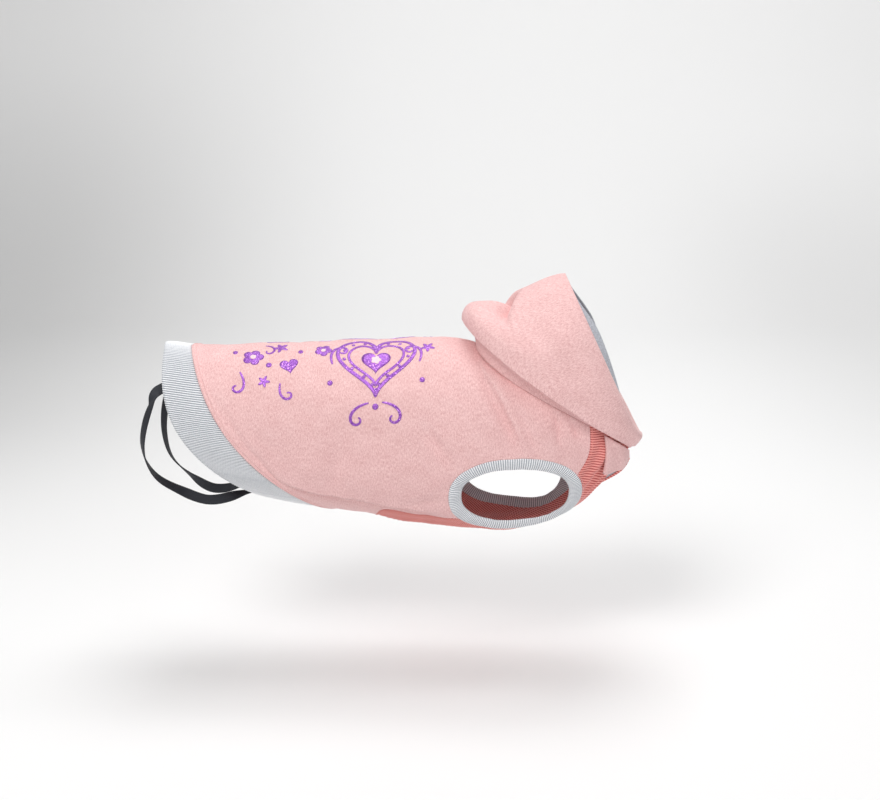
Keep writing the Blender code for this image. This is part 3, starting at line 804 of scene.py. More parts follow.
@dataclass(frozen=True)
class Sweep:
    """Matt studio sheet with painted shade: darker far back on the left, most of all low down, and a little low on the
    right.
    """

    name: str
    light: Colour = (0.90, 0.90, 0.90)
    dark: Colour = (0.64, 0.64, 0.64)

    def material(self) -> bpy.types.Material:
        """Return the finish as a material."""
        tree = ShaderTree(self.name)
        place = tree.add("ShaderNodeTexCoord")
        split = tree.add("ShaderNodeSeparateXYZ", None, {"Vector": place.outputs["Object"]})
        left = 1.0 - tree.out(split, "X").smooth(-0.85, 0.05)
        right = tree.out(split, "X").smooth(0.45, 1.0) * (1.0 - tree.out(split, "Z").smooth(-0.33, 0.05))
        low = 1.0 - tree.out(split, "Z").smooth(-0.33, 0.3) * 0.7
        # Painted shade: the share darkens the back of the sheet on the left and, less, low on the right.
        share = (left * low + right * 0.4) * tree.out(split, "Y").smooth(0.1, 1.0)
        return tree.finish(base_color=tree.mix(share.held(), self.light, self.dark), roughness=0.9, specular_ior_level=0.1)


@dataclass(frozen=True)
class Surface:
    """A plain matt surface of the studio."""

    name: str
    colour: Colour

    def material(self) -> bpy.types.Material:
        """Return the finish as a material."""
        return ShaderTree(self.name).finish(base_color=self.colour, roughness=0.9, specular_ior_level=0.1)


class Finishes:
    """The garment's finishes, each made once."""

    def __init__(self) -> None:
        """Make every material."""
        self.fleece = Fleece("fleece").material()
        # The second colour of each rib knit is the painted shade of its grooves.
        self.grey = RibKnit("grey_rib", linear(250, 251, 253), linear(150, 156, 166)).material()
        self.coral = RibKnit("coral_rib", linear(252, 176, 169), linear(182, 70, 66), 0.0027).material()
        self.lining = PlainKnit("lining", linear(180, 183, 191), 0.32, 0.9, 620.0).material()
        self.elastic = PlainKnit("elastic", linear(44, 46, 52), 0.35, 0.6, 1500.0, 0.05).material()
        self.pink_thread = PlainKnit("pink_thread", linear(244, 206, 204), 0.05).material()
        self.grey_thread = PlainKnit("grey_thread", linear(226, 229, 234), 0.05).material()
        self.coral_thread = PlainKnit("coral_thread", linear(240, 160, 150), 0.05).material()
        self.glitter = GlitterInk("glitter").material()
        self.flake = Flake("glitter_flake").material()
        self.outline = PlainKnit("print_outline", linear(250, 214, 222), 0.05, 0.6).material()


class Shape(NamedTuple):
    """Points, faces and the cloth coordinates of each face's corners."""

    points: Array
    faces: Array
    cloth: Array

    def outward(self) -> "Shape":
        """Return the closed shape with its faces turned outward."""
        first = self.points[self.faces[:, 0]]
        volume = 0.0
        for corner in range(1, self.faces.shape[1] - 1):
            crossed = np.cross(self.points[self.faces[:, corner]], self.points[self.faces[:, corner + 1]])
            volume += float(np.sum(first * crossed))
        if volume < 0.0:
            return Shape(self.points, self.faces[:, ::-1], self.cloth[:, ::-1])
        return self


def together(shapes: Sequence[Shape]) -> Shape:
    """Return several shapes as one."""
    starts = np.cumsum([0] + [len(shape.points) for shape in shapes])
    return Shape(
        np.concatenate([shape.points for shape in shapes]),
        np.concatenate([shape.faces + start for shape, start in zip(shapes, starts)]),
        np.concatenate([shape.cloth for shape in shapes]),
    )


def add_mesh(name: str, shape: Shape, material: bpy.types.Material) -> bpy.types.Object:
    """Make an object from equal-sided faces.

    Args:
        name: The object's name.
        shape: Its points, faces and cloth coordinates.
        material: Its finish.

    Returns:
        The new object, linked to the scene.
    """
    points, faces, cloth = shape
    mesh = bpy.data.meshes.new(name)
    count, corners = faces.shape
    mesh.vertices.add(len(points))
    mesh.vertices.foreach_set("co", points.astype(np.float32).ravel())
    mesh.loops.add(count * corners)
    mesh.loops.foreach_set("vertex_index", faces.astype(np.int32).ravel())
    mesh.polygons.add(count)
    mesh.polygons.foreach_set("loop_start", np.arange(0, count * corners, corners, dtype=np.int32))
    mesh.update(calc_edges=True)
    layer = mesh.uv_layers.new(name="cloth")
    layer.uv.foreach_set("vector", cloth.astype(np.float32).ravel())
    mesh.shade_smooth()
    mesh.materials.append(material)
    thing = bpy.data.objects.new(name, mesh)
    bpy.context.scene.collection.objects.link(thing)
    return thing


def wall(outer: Array, inner: Array, cloth: Array, ring: bool) -> Shape:
    """Close two matching grids of points into one wall of cloth.

    Args:
        outer: Outside points, (rows, columns, 3).
        inner: Inside points, the same shape.
        cloth: Cloth coordinates, (rows, columns, 2), with one more column where the wall is a ring.
        ring: Whether the last column joins the first.

    Returns:
        The wall, faces outward.
    """
    rows, columns = outer.shape[:2]
    wide = columns if ring else columns - 1
    points = np.concatenate([outer.reshape(-1, 3), inner.reshape(-1, 3)])
    under = rows * columns
    table = np.concatenate([cloth.reshape(-1, 2)] * 2)
    under_cloth = rows * (wide + 1)

    def corner(row: Array, column: Array) -> tuple[Array, Array]:
        return row * columns + column % columns, row * (wide + 1) + column

    row, column = (grid.ravel() for grid in np.mgrid[0 : rows - 1, 0:wide])
    around = [corner(row, column), corner(row, column + 1), corner(row + 1, column + 1), corner(row + 1, column)]
    spots = np.stack([c[0] for c in around], axis=1)
    marks = np.stack([c[1] for c in around], axis=1)
    faces, places = [spots, spots[:, ::-1] + under], [marks, marks[:, ::-1] + under_cloth]

    def rim(start: tuple, end: tuple) -> None:
        faces.append(np.stack([end[0], start[0], start[0] + under, end[0] + under], axis=1))
        places.append(np.stack([end[1], start[1], start[1] + under_cloth, end[1] + under_cloth], axis=1))

    line = np.arange(wide)
    rim(corner(0 * line, line), corner(0 * line, line + 1))
    rim(corner(0 * line + rows - 1, line + 1), corner(0 * line + rows - 1, line))
    if not ring:
        tall = np.arange(rows - 1)
        rim(corner(tall + 1, 0 * tall), corner(tall, 0 * tall))
        rim(corner(tall, 0 * tall + wide), corner(tall + 1, 0 * tall + wide))
    return Shape(points, np.concatenate(faces), table[np.concatenate(places)]).outward()


def closed_ring(values: Array) -> Array:
    """Return a grid with its first column added again at the end."""
    return np.concatenate([values, values[:, :1]], axis=1)


def girth_from_top(points: Array, top: int) -> Array:
    """Return distances along each row of a grid, counted from one column."""
    steps = np.linalg.norm(np.diff(points, axis=1), axis=2)
    run = np.concatenate([np.zeros((len(points), 1)), np.cumsum(steps, axis=1)], axis=1)
    return run - run[:, top : top + 1]


def length_from_start(points: Array) -> Array:
    """Return distances down each column of a grid."""
    steps = np.linalg.norm(np.diff(points, axis=0), axis=2)
    return np.concatenate([np.zeros((1, points.shape[1])), np.cumsum(steps, axis=0)])


@dataclass
class Armhole:
    """The outline where an armhole's binding is sewn to the body's right side."""

    length: float = 0.130
    height: float = 0.084
    along: float = 0.616
    drop: float = 0.714
    roundness: float = 2.25
    steps: int = 288
    points: Array = field(init=False)
    normals: Array = field(init=False)
    inward: Array = field(init=False)
    skin: Array = field(init=False)

    def outline(self, grow: float) -> tuple[Array, Array]:
        """Return the outline grown by a length, as places seen from the side."""
        turn = TURN * np.arange(self.steps) / self.steps
        power = 2.0 / self.roundness
        along = np.sign(np.cos(turn)) * np.abs(np.cos(turn)) ** power
        up = np.sign(np.sin(turn)) * np.abs(np.sin(turn)) ** power
        x = self.along * SIZE.back + along * (self.length / 2.0 + grow)
        return x, -self.drop * SIZE.depth + up * (self.height / 2.0 + grow)

    def clear(self, points: Array, grow: float) -> Array:
        """Return which points lie outside the grown outline."""
        x = (points[..., 0] - self.along * SIZE.back) / (self.length / 2.0 + grow)
        z = (points[..., 2] + self.drop * SIZE.depth) / (self.height / 2.0 + grow)
        return np.abs(x) ** self.roundness + np.abs(z) ** self.roundness > 1.0

    def __post_init__(self) -> None:
        """Find the outline on the body."""
        section, angle = self.find(*self.outline(0.0))
        self.points = BODY.plain(section, angle)
        self.normals = BODY.normals(section, angle)
        ahead = unit(np.roll(self.points, -1, axis=0) - np.roll(self.points, 1, axis=0))
        self.skin = BODY.skin(section, angle)
        self.inward = unit(np.cross(self.normals, ahead))
        if np.sum(self.inward * (self.points.mean(axis=0) - self.points)) < 0.0:
            self.inward = -self.inward

    @staticmethod
    def find(x: Array, z: Array) -> tuple[Array, Array]:
        """Return sections and angles on the right side under points seen from the side."""
        section, angle = np.full_like(x, 5.0), np.full_like(x, 2.0)
        tiny = 1e-4
        for _ in range(40):
            here = BODY.plain(section, angle)
            by_s = (BODY.plain(section + tiny, angle) - here) / tiny
            by_a = (BODY.plain(section, angle + tiny) - here) / tiny
            det = by_s[:, 0] * by_a[:, 2] - by_a[:, 0] * by_s[:, 2]
            off_x, off_z = x - here[:, 0], z - here[:, 2]
            step_s = (off_x * by_a[:, 2] - by_a[:, 0] * off_z) / det
            step_a = (by_s[:, 0] * off_z - off_x * by_s[:, 2]) / det
            section = np.clip(section + np.clip(step_s, -0.4, 0.4), FREE_EDGE, NECK_SEAM)
            angle = np.clip(angle + np.clip(step_a, -0.2, 0.2), 0.0, math.pi)
        return section, angle

    def sided(self, points: Array, side: Side) -> Array:
        """Return points moved to a side."""
        return points * np.array([1.0, -side.value, 1.0])

    def cutter(self, side: Side) -> bpy.types.Object:
        """Return a plug that crosses the body's wall along the outline."""
        reach = 0.012
        skip = slice(None, None, 2)
        points, normals = self.points[skip] - self.inward[skip] * 0.0006, self.normals[skip]
        middle, heading = points.mean(axis=0), unit(normals.mean(axis=0))
        count = len(points)
        corners = np.concatenate(
            [points - normals * reach, points + normals * reach, [middle - heading * reach, middle + heading * 3 * reach]]
        )
        spot = np.arange(count)
        after = (spot + 1) % count
        low, high = np.full(count, 2 * count), np.full(count, 2 * count + 1)
        faces = np.concatenate(
            [
                np.stack([spot, after, count + after], axis=1),
                np.stack([spot, count + after, count + spot], axis=1),
                np.stack([after, spot, low], axis=1),
                np.stack([count + spot, count + after, high], axis=1),
            ]
        )
        plug = Shape(self.sided(corners, side), faces, np.zeros((*faces.shape, 2)))
        return add_mesh(f"cutter_{side.name.lower()}", plug.outward(), BLANK)


BLANK = Surface("blank", (0.5, 0.5, 0.5)).material()


def settle(thing: bpy.types.Object) -> bpy.types.Object:
    """Turn an object's modifiers into its mesh."""
    graph = bpy.context.evaluated_depsgraph_get()
    mesh = bpy.data.meshes.new_from_object(thing.evaluated_get(graph))
    thing.modifiers.clear()
    thing.data = mesh
    return thing


def cut_armholes(thing: bpy.types.Object, armhole: Armhole) -> bpy.types.Object:
    """Cut both armholes out of a piece, exactly."""
    cutters = [armhole.cutter(side) for side in Side]
    for cutter in cutters:
        modifier = thing.modifiers.new(cutter.name, "BOOLEAN")
        modifier.operation = "DIFFERENCE"
        modifier.solver = "EXACT"
        modifier.object = cutter
    settle(thing)
    for cutter in cutters:
        bpy.data.objects.remove(cutter, do_unlink=True)
    return thing


@dataclass
class BodyPanel:
    """Fleece back and sides, closed under the belly behind the chest panel."""

    finishes: Finishes
    armhole: Armhole
    rows: int = 132
    columns: int = 240
    main_share: float = 0.9

    def seam_relief(self, section: Array, angle: Array) -> Array:
        """Return the ridges along the hem and neck seams."""
        behind = (section - HEM_SEAM) * 0.055
        ridge = 0.0011 * np.exp(-(((behind - 0.0016) / 0.0011) ** 2))
        ridge = ridge + 0.0009 * np.exp(-(((behind - 0.0050) / 0.0012) ** 2))
        return ridge

    def build(self) -> bpy.types.Object:
        """Build the panel and put it in the place of its CAD node.

        Returns:
            The panel.
        """
        near = HEM_SEAM + np.linspace(0.0, 1.0, 24) ** 1.2 * 0.20
        far = np.linspace(near[-1], NECK_SEAM, self.rows - 23)[1:]
        section = np.concatenate([near, far])[:, None]
        share = np.linspace(-1.0, 1.0, self.columns + 1)[None, :]
        rest = np.clip((np.abs(share) - self.main_share) / (1.0 - self.main_share), 0.0, 1.0)
        spread = chest_spread(np.maximum(section, CHEST_START))
        edge_room = np.where(section < CHEST_START, spread - 1e-6, 0.006)
        start = math.pi - spread - np.where(section < CHEST_START, 0.0, 0.006)
        angle = np.sign(share) * (start * np.minimum(np.abs(share) / self.main_share, 1.0) + edge_room * rest)
        lift = self.seam_relief(section, angle)
        outer = BODY.skin(section, angle, lift)
        inner = BODY.skin(section, angle, lift - SIZE.fleece)
        girth = girth_from_top(BODY.plain(section, angle), self.columns // 2)
        cloth = np.stack([BODY.plain(section, angle)[..., 0], girth], axis=-1)
        panel = add_mesh("fleece_body", wall(outer, inner, cloth, False), self.finishes.fleece)
        cut_armholes(panel, self.armhole)
        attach(panel, "root")
        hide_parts("body_panel")
        return panel


@dataclass
class ChestPanel:
    """Coral ribbed belly and chest panel, with rope-like folds at the throat."""

    finishes: Finishes
    armhole: Armhole
    rows: int = 150
    columns: int = 240

    def build(self) -> bpy.types.Object:
        """Build the panel and put it in the place of its CAD node."""
        section = np.linspace(CHEST_START + 0.01, NECK_SEAM, self.rows + 1)[:, None]
        share = np.linspace(-1.0, 1.0, self.columns + 1)[None, :]
        angle = math.pi + (chest_spread(section) - 0.0055) * share
        plain = BODY.plain(section, angle)
        girth = girth_from_top(plain, self.columns // 2)
        run = length_from_start(plain)
        gather = ease(section, 5.9, 7.0) * (1.0 - share**8)
        ropes = 0.5 - 0.5 * np.cos(math.pi * 9.0 * (share + 1.0) + 0.5 * np.sin(3.0 * section))
        keel = (1.0 - ease(section, 5.0, 6.2)) * (1.0 - share**8)
        bands = 0.5 - 0.5 * np.cos(math.pi * 4.0 * (share + 1.0) + 0.35 * np.sin(1.7 * section))
        across = run * 0.86 + np.abs(girth) * 0.50
        ribs = 0.5 + 0.5 * np.cos(TURN * across / 0.0027)
        lift = -0.0040 * gather * ropes - 0.0020 * keel * bands + (0.00055 + 0.0004 * keel) * ribs
        outer = BODY.skin(section, angle, lift)
        inner = BODY.skin(section, angle, lift - SIZE.rib)
        cloth = np.stack([across, girth], axis=-1)
        panel = add_mesh("coral_chest", wall(outer, inner, cloth, False), self.finishes.coral)
        cut_armholes(panel, self.armhole)
        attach(panel, "root")
        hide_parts("chest_panel")
        return panel


@dataclass
class HemBand:
    """Grey ribbed band from the hem seam to the free edge, with real ribs."""

    finishes: Finishes
    rows: int = 14
    ribs: int = 184

    def build(self) -> bpy.types.Object:
        """Build the band and put it in the place of its CAD node."""
        columns = self.ribs * 6
        angle = (TURN * np.arange(columns) / columns - math.pi)[None, :]
        share = np.linspace(0.0, 1.0, self.rows + 1)[:, None]
        section = FREE_EDGE + (HEM_SEAM - 0.006) * share
        middle = BODY.plain(np.full_like(angle, 0.5), angle)
        girth = girth_from_top(np.concatenate([middle, middle[:, :1]], axis=1), columns // 2)
        across = girth[:, :-1]
        ribs = np.cos(TURN * across / SIZE.rib_pitch)
        turned = 1.0 - 0.55 * np.exp(-((share / 0.07) ** 2))
        lift = (0.00055 * ribs + 0.0006 * np.sin(math.pi * share)) * turned
        outer = BODY.skin(section, angle, lift)
        inner = BODY.skin(section, angle, -SIZE.rib + 0.0002 * ribs)
        run = length_from_start(outer)
        cloth = np.stack([girth + 0.0 * share, closed_ring(run)], axis=-1)
        band = add_mesh("rib_hem", wall(outer, inner, cloth, True), self.finishes.grey)
        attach(band, "root")
        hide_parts("hem_band")
        return band


@dataclass
class Binding:
    """Grey ribbed band that lines an armhole, with ribs across it."""

    finishes: Finishes
    armhole: Armhole
    side: Side
    repeat: int = 4

    def build(self) -> bpy.types.Object:
        """Build the binding and put it in the place of its CAD node."""
        word = self.side.name.lower()
        fine = np.arange(self.armhole.steps * self.repeat) / self.repeat
        base = np.arange(self.armhole.steps + 1)

        def finer(values: Array) -> Array:
            around = np.concatenate([values, values[:1]])
            return np.stack([np.interp(fine, base, around[:, axis]) for axis in range(3)], axis=1)

        points = finer(self.armhole.skin)
        normals, inward = unit(finer(self.armhole.normals)), unit(finer(self.armhole.inward))
        steps = np.linalg.norm(np.diff(np.concatenate([points, points[:1]]), axis=0), axis=1)
        run = np.concatenate([[0.0], np.cumsum(steps)])
        count = round(run[-1] / 0.0023)
        ribs = np.cos(TURN * count * run[:-1] / run[-1])
        rows, marks = [], []
        for share in np.linspace(0.0, 1.0, 26, endpoint=False):
            turn = TURN * share
            across = 0.5 - 0.5 * math.cos(turn)
            top = math.sin(turn) > 0.0
            bulge = abs(math.sin(turn)) ** 0.55
            height = 0.0017 * bulge if top else -0.0020 * bulge
            height = height - 0.0002 + (0.00028 * ribs * bulge if top else 0.0)
            sink = 0.35 * across**2 * SIZE.binding_width
            reach = -0.0009 + across * (SIZE.binding_width + 0.0009)
            rows.append(points + inward * reach + normals * (height - sink + 0.0 * ribs)[:, None])
            marks.append(np.stack([run * count / run[-1] * SIZE.rib_pitch, np.full_like(run, across * 0.0115)], axis=1))
        grid = self.armhole.sided(np.stack(rows + rows[:1]), self.side)
        cloth = np.stack(marks + marks[:1])
        tall, wide = len(rows), len(fine)
        row, column = (g.ravel() for g in np.mgrid[0:tall, 0:wide])
        after, below = (column + 1) % wide, (row + 1) % tall
        faces = np.stack(
            [row * wide + column, row * wide + after, below * wide + after, below * wide + column], axis=1
        )
        corners = np.stack(
            [cloth[row, column], cloth[row, column + 1], cloth[row + 1, column + 1], cloth[row + 1, column]], axis=1
        )
        shape = Shape(grid[:-1].reshape(-1, 3), faces, corners).outward()
        band = add_mesh(f"rib_armhole_{word}", shape, self.finishes.grey)
        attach(band, "root")
        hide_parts(f"armhole_binding_{word}")
        return band


@dataclass
class Hood:
    """Fleece hood with its grey lining."""

    finishes: Finishes
    rows: int = 150
    columns: int = 200

    def shell(self) -> bpy.types.Object:
        """Build the fleece shell."""
        section = np.linspace(0.0, OPENING, self.rows + 1)[:, None]
        angle = (TURN * np.arange(self.columns) / self.columns - math.pi)[None, :]
        edge = 0.0006 * np.exp(-(((section - OPENING + 0.30) / 0.22) ** 2))
        outer = HOOD.skin(section, angle, edge + 0.0003)
        inner = HOOD.skin(section, angle, -SIZE.fleece)
        girth = (angle + math.pi) * 0.072
        across = np.concatenate([girth, [[TURN * 0.072]]], axis=1)
        run = closed_ring(length_from_start(outer))
        cloth = np.stack([across + 0.0 * section, run], axis=-1)
        shell = add_mesh("fleece_hood", wall(outer, inner, cloth, True), self.finishes.fleece)
        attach(shell, "root")
        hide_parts("hood_shell")
        return shell

    def lining(self) -> bpy.types.Object:
        """Build the lining, which shows as a strip past the fleece's edge."""
        section = np.linspace(1.2, OPENING, 70)[:, None]
        angle = (TURN * np.arange(self.columns) / self.columns - math.pi)[None, :]
        lift = -SIZE.fleece - 0.0005
        outer = HOOD.skin(section, angle, lift)
        inner = HOOD.skin(section, angle, lift - SIZE.lining)
        reach = unit(outer[-1] - outer[-3])
        shown = (0.06 + 0.94 * ease(1.0 - np.cos(angle[0]), 0.1, 0.7)) * 0.011
        grow = np.linspace(0.0, 1.0, 7)[1:, None]
        outer = np.concatenate([outer, outer[-1:] + reach * shown[:, None] * grow[..., None]])
        inner = np.concatenate([inner, inner[-1:] + reach * shown[:, None] * grow[..., None]])
        across = np.concatenate([angle, [[math.pi]]], axis=1) * 0.072
        run = closed_ring(length_from_start(outer))
        cloth = np.stack([across + 0.0 * run, run], axis=-1)
        lining = add_mesh("grey_lining", wall(outer, inner, cloth, True), self.finishes.lining)
        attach(lining, "root")
        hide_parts("hood_lining")
        return lining


def throat_section(below: Array) -> Array:
    """Return sections that lie given lengths below the neck seam, down the throat."""
    front = BODY.plain(np.array([NECK_SEAM - 1.0, NECK_SEAM]), np.array([math.pi, math.pi]))
    return NECK_SEAM - below / np.linalg.norm(front[1] - front[0])


@dataclass
class CollarEnds:
    """The two fleece collar ends that cross at the throat."""

    finishes: Finishes
    rows: int = 24
    columns: int = 90

    def front(self) -> bpy.types.Object:
        """Build the near end, which lies over the other one."""
        share = np.linspace(0.0, 1.0, self.rows + 1)[:, None]
        girth = np.linspace(0.0, 1.0, self.columns + 1)[None, :]
        right = 0.340 - 0.125 * share
        angle = math.pi * (1.0 - right + (right + 0.010) * girth)
        section = throat_section(0.0025 + share * 0.034 * (0.24 + 0.76 * (1.0 - girth) ** 2.5))
        pleats = 0.5 + 0.5 * np.cos(TURN * 3.0 * girth)
        lift = SIZE.fleece + 0.0004 + 0.0055 * share * np.sin(math.pi * girth) ** 0.5
        lift = lift + 0.0014 * pleats * ease(share, 0.0, 0.5)
        plain, normal = BODY.plain(section, angle), BODY.normals(section, angle)
        outer = plain + normal * lift[..., None]
        inner = outer - normal * SIZE.fleece
        cloth = np.stack([girth_from_top(outer, 0), length_from_start(outer)], axis=-1)
        piece = add_mesh("fleece_collar", wall(outer, inner, cloth, False), self.finishes.fleece)
        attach(piece, "root")
        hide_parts("collar_front")
        return piece

    def flap(self) -> list[bpy.types.Object]:
        """Build the far end, which stands out below, with its lining side and coral edge."""
        tall = np.linspace(0.0, 1.0, 40)[:, None]
        wide = np.linspace(0.0, 1.0, 20)[None, :]
        section = throat_section(0.012 + tall * 0.046) + 0.0 * wide
        angle = math.pi * 1.045
        plain, normal = BODY.plain(section, angle), BODY.normals(section, angle)
        out = np.sin(math.pi * (0.38 + 0.62 * tall))
        wave = 0.0010 * np.sin(TURN * (tall * 1.5 + wide * 0.4)) * wide
        reach = (0.017 * wide * out)[..., None]
        left = np.array([0.0, 1.0, 0.0])
        near = plain + normal * (0.0004 + reach) + left * (0.35 * reach + wave[..., None])
        middle, far = near + left * 0.0009, near + left * SIZE.fleece
        cloth = np.stack([wide * 0.017 + 0.0 * tall, tall * 0.046 + 0.0 * wide], axis=-1)
        face = add_mesh("lining_flap", wall(near, middle - left * 0.0001, cloth, False), self.finishes.lining)
        back = add_mesh("fleece_flap", wall(middle, far, cloth, False), self.finishes.fleece)
        strip = near[:, -5:] - left * 0.0009
        strip_cloth = np.stack([cloth[:, -5:, 1], cloth[:, -5:, 0]], axis=-1)
        edge = add_mesh(
            "coral_flap_edge", wall(strip, strip + left * (SIZE.fleece + 0.0018), strip_cloth, False), self.finishes.coral
        )
        for piece, slot in ((face, "lining"), (back, "fleece"), (edge, "coral_rib")):
            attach(piece, "root")
        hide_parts("collar_flap")
        return [face, back, edge]


class StrapStop(NamedTuple):
    """A point of the leg loop: shares of the back, the depth and the width."""

    along: float
    drop: float
    aside: float


STRAP_ROUTE = (
    StrapStop(-0.499, 0.240, 0.420),
    StrapStop(-0.519, 0.335, 0.430),
    StrapStop(-0.532, 0.445, 0.400),
    StrapStop(-0.529, 0.545, 0.335),
    StrapStop(-0.503, 0.650, 0.250),
    StrapStop(-0.440, 0.735, 0.180),
    StrapStop(-0.370, 0.795, 0.130),
)


@dataclass
class LegLoop:
    """Flat elastic loop that goes round the back of a hind leg."""

    finishes: Finishes
    side: Side
    steps: int = 160

    def route(self) -> tuple[Array, Array]:
        """Return the loop's middle line and its outward normals."""
        sink = -(SIZE.rib + 0.0008 + SIZE.strap)
        top = BODY_SECTIONS[1].top_along - BODY_SECTIONS[0].top_along
        tuck = 0.012 / (top * SIZE.back)

        def under(angle_share: float, slant: float) -> tuple[list, list]:
            angles = np.array([angle_share - slant, angle_share]) * math.pi
            sections = np.array([tuck, FREE_EDGE])
            normals = BODY.normals(sections, angles)
            spots = BODY.plain(sections, angles) + normals * sink
            clear = unit(spots[1] - spots[0])
            return [spots[0], spots[1], spots[1] + clear * SIZE.strap_width * 0.5], [*normals, normals[1]]

        hip, hip_out = under(0.300, 0.050)
        groin, groin_out = under(0.900, 0.0)
        line, outward = [], []
        for stop in STRAP_ROUTE:
            spot = np.array([stop.along * SIZE.back, -stop.aside * SIZE.width, -stop.drop * SIZE.depth])
            leg = np.array([-0.365 * SIZE.back, -0.200 * SIZE.width, spot[2]])
            line.append(spot)
            outward.append(unit(spot - leg))
        stops, normals = np.array(hip + line + groin[::-1]), np.array(hip_out + outward + groin_out[::-1])
        lengths = np.concatenate([[0.0], np.cumsum(np.linalg.norm(np.diff(stops, axis=0), axis=1))])
        wanted = np.linspace(0.0, lengths[-1], self.steps + 1)
        flip = np.array([1.0, -self.side.value, 1.0])
        return smooth_rows(stops, lengths, wanted) * flip, smooth_rows(normals, lengths, wanted) * flip

    def build(self) -> bpy.types.Object:
        """Build the loop and put it in the place of its CAD node."""
        word = self.side.name.lower()
        line, facing = self.route()
        ahead = unit(np.gradient(line, axis=0))
        facing = unit(facing - ahead * np.sum(facing * ahead, axis=1, keepdims=True))
        across = np.cross(ahead, facing)
        share = np.linspace(-1.0, 1.0, 13)[None, :, None]
        weave = 0.00012 * np.cos(TURN * 3.0 * share)
        swell = SIZE.strap * 0.5 * (1.0 - 0.35 * np.abs(share) ** 6) + weave
        middle = line[:, None] + across[:, None] * share * SIZE.strap_width / 2.0
        outer, inner = middle + facing[:, None] * swell, middle - facing[:, None] * swell
        run = np.linspace(0.0, 1.0, self.steps + 1)[:, None] * 0.2
        cloth = np.stack([share[..., 0] * 0.005 + 0.0 * run, run + 0.0 * share[..., 0]], axis=-1)
        loop = add_mesh(f"elastic_loop_{word}", wall(outer, inner, cloth, False), self.finishes.elastic)
        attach(loop, "root")
        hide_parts(f"leg_strap_{word}")
        return loop


class Motif(Enum):
    """Shapes of the print's filled motifs."""

    HEART = "heart"
    FLOWER = "flower"
    STAR = "star"
    DOT = "dot"

    def rim(self, count: int = 80) -> Array:
        """Return the motif's outline, one unit in reach, as flat points."""
        turn = TURN * np.arange(count) / count
        if self is Motif.HEART:
            x = 16.0 * np.sin(turn) ** 3
            y = 13.0 * np.cos(turn) - 5.0 * np.cos(2.0 * turn) - 2.0 * np.cos(3.0 * turn) - np.cos(4.0 * turn)
            return np.stack([x, -y - 2.0], axis=1) / 17.0
        reach = np.ones(count)
        if self is Motif.FLOWER:
            reach = 0.68 + 0.32 * np.abs(np.cos(2.5 * turn)) ** 0.7
        elif self is Motif.STAR:
            reach = 1.0 - 0.58 * (0.5 - 0.5 * np.cos(5.0 * turn)) ** 0.8
        return np.stack([np.cos(turn), np.sin(turn)], axis=1) * reach[:, None]


class Spot(NamedTuple):
    """A filled motif: its middle along the garment and down from the spine, its reach and turn."""

    motif: Motif
    along: float
    down: float
    reach: float
    turn_deg: float


GLITTER_SPOTS = (
    Spot(Motif.HEART, 0.058, 0.040, 0.0150, 0.0),
    Spot(Motif.FLOWER, 0.006, 0.020, 0.0085, 10.0),
    Spot(Motif.STAR, 0.108, 0.022, 0.0075, 18.0),
    Spot(Motif.DOT, 0.014, 0.060, 0.0026, 0.0),
    Spot(Motif.DOT, 0.103, 0.062, 0.0026, 0.0),
    Spot(Motif.DOT, 0.058, 0.086, 0.0030, 0.0),
    Spot(Motif.FLOWER, -0.062, 0.027, 0.0105, 0.0),
    Spot(Motif.STAR, -0.036, 0.014, 0.0080, 30.0),
    Spot(Motif.HEART, -0.026, 0.040, 0.0095, -12.0),
    Spot(Motif.DOT, -0.046, 0.038, 0.0028, 0.0),
    Spot(Motif.DOT, -0.016, 0.022, 0.0024, 0.0),
    Spot(Motif.STAR, -0.050, 0.056, 0.0062, 5.0),
    Spot(Motif.DOT, -0.080, 0.020, 0.0024, 0.0),
)
PINK_SPOTS = (
    Spot(Motif.DOT, -0.062, 0.027, 0.0030, 0.0),
    Spot(Motif.DOT, 0.006, 0.020, 0.0024, 0.0),
    Spot(Motif.FLOWER, 0.058, 0.037, 0.0050, 0.0),
)


class Scroll(NamedTuple):
    """A curling line: its start, heading, length, turns at either end and greatest width."""

    along: float
    down: float
    heading_deg: float
    length: float
    turn_start_deg: float
    turn_end_deg: float
    width: float


SCROLLS = (
    Scroll(0.016, 0.040, 250.0, 0.046, 80.0, 900.0, 0.0030),
    Scroll(0.100, 0.042, 290.0, 0.046, -80.0, -900.0, 0.0030),
    Scroll(0.052, 0.082, 170.0, 0.044, -60.0, -860.0, 0.0028),
    Scroll(0.064, 0.082, 10.0, 0.044, 60.0, 860.0, 0.0028),
    Scroll(-0.074, 0.044, 60.0, 0.036, 40.0, 840.0, 0.0026),
    Scroll(-0.034, 0.058, 100.0, 0.032, -60.0, -860.0, 0.0024),
    Scroll(-0.052, 0.006, 20.0, 0.030, 80.0, 700.0, 0.0022),
)


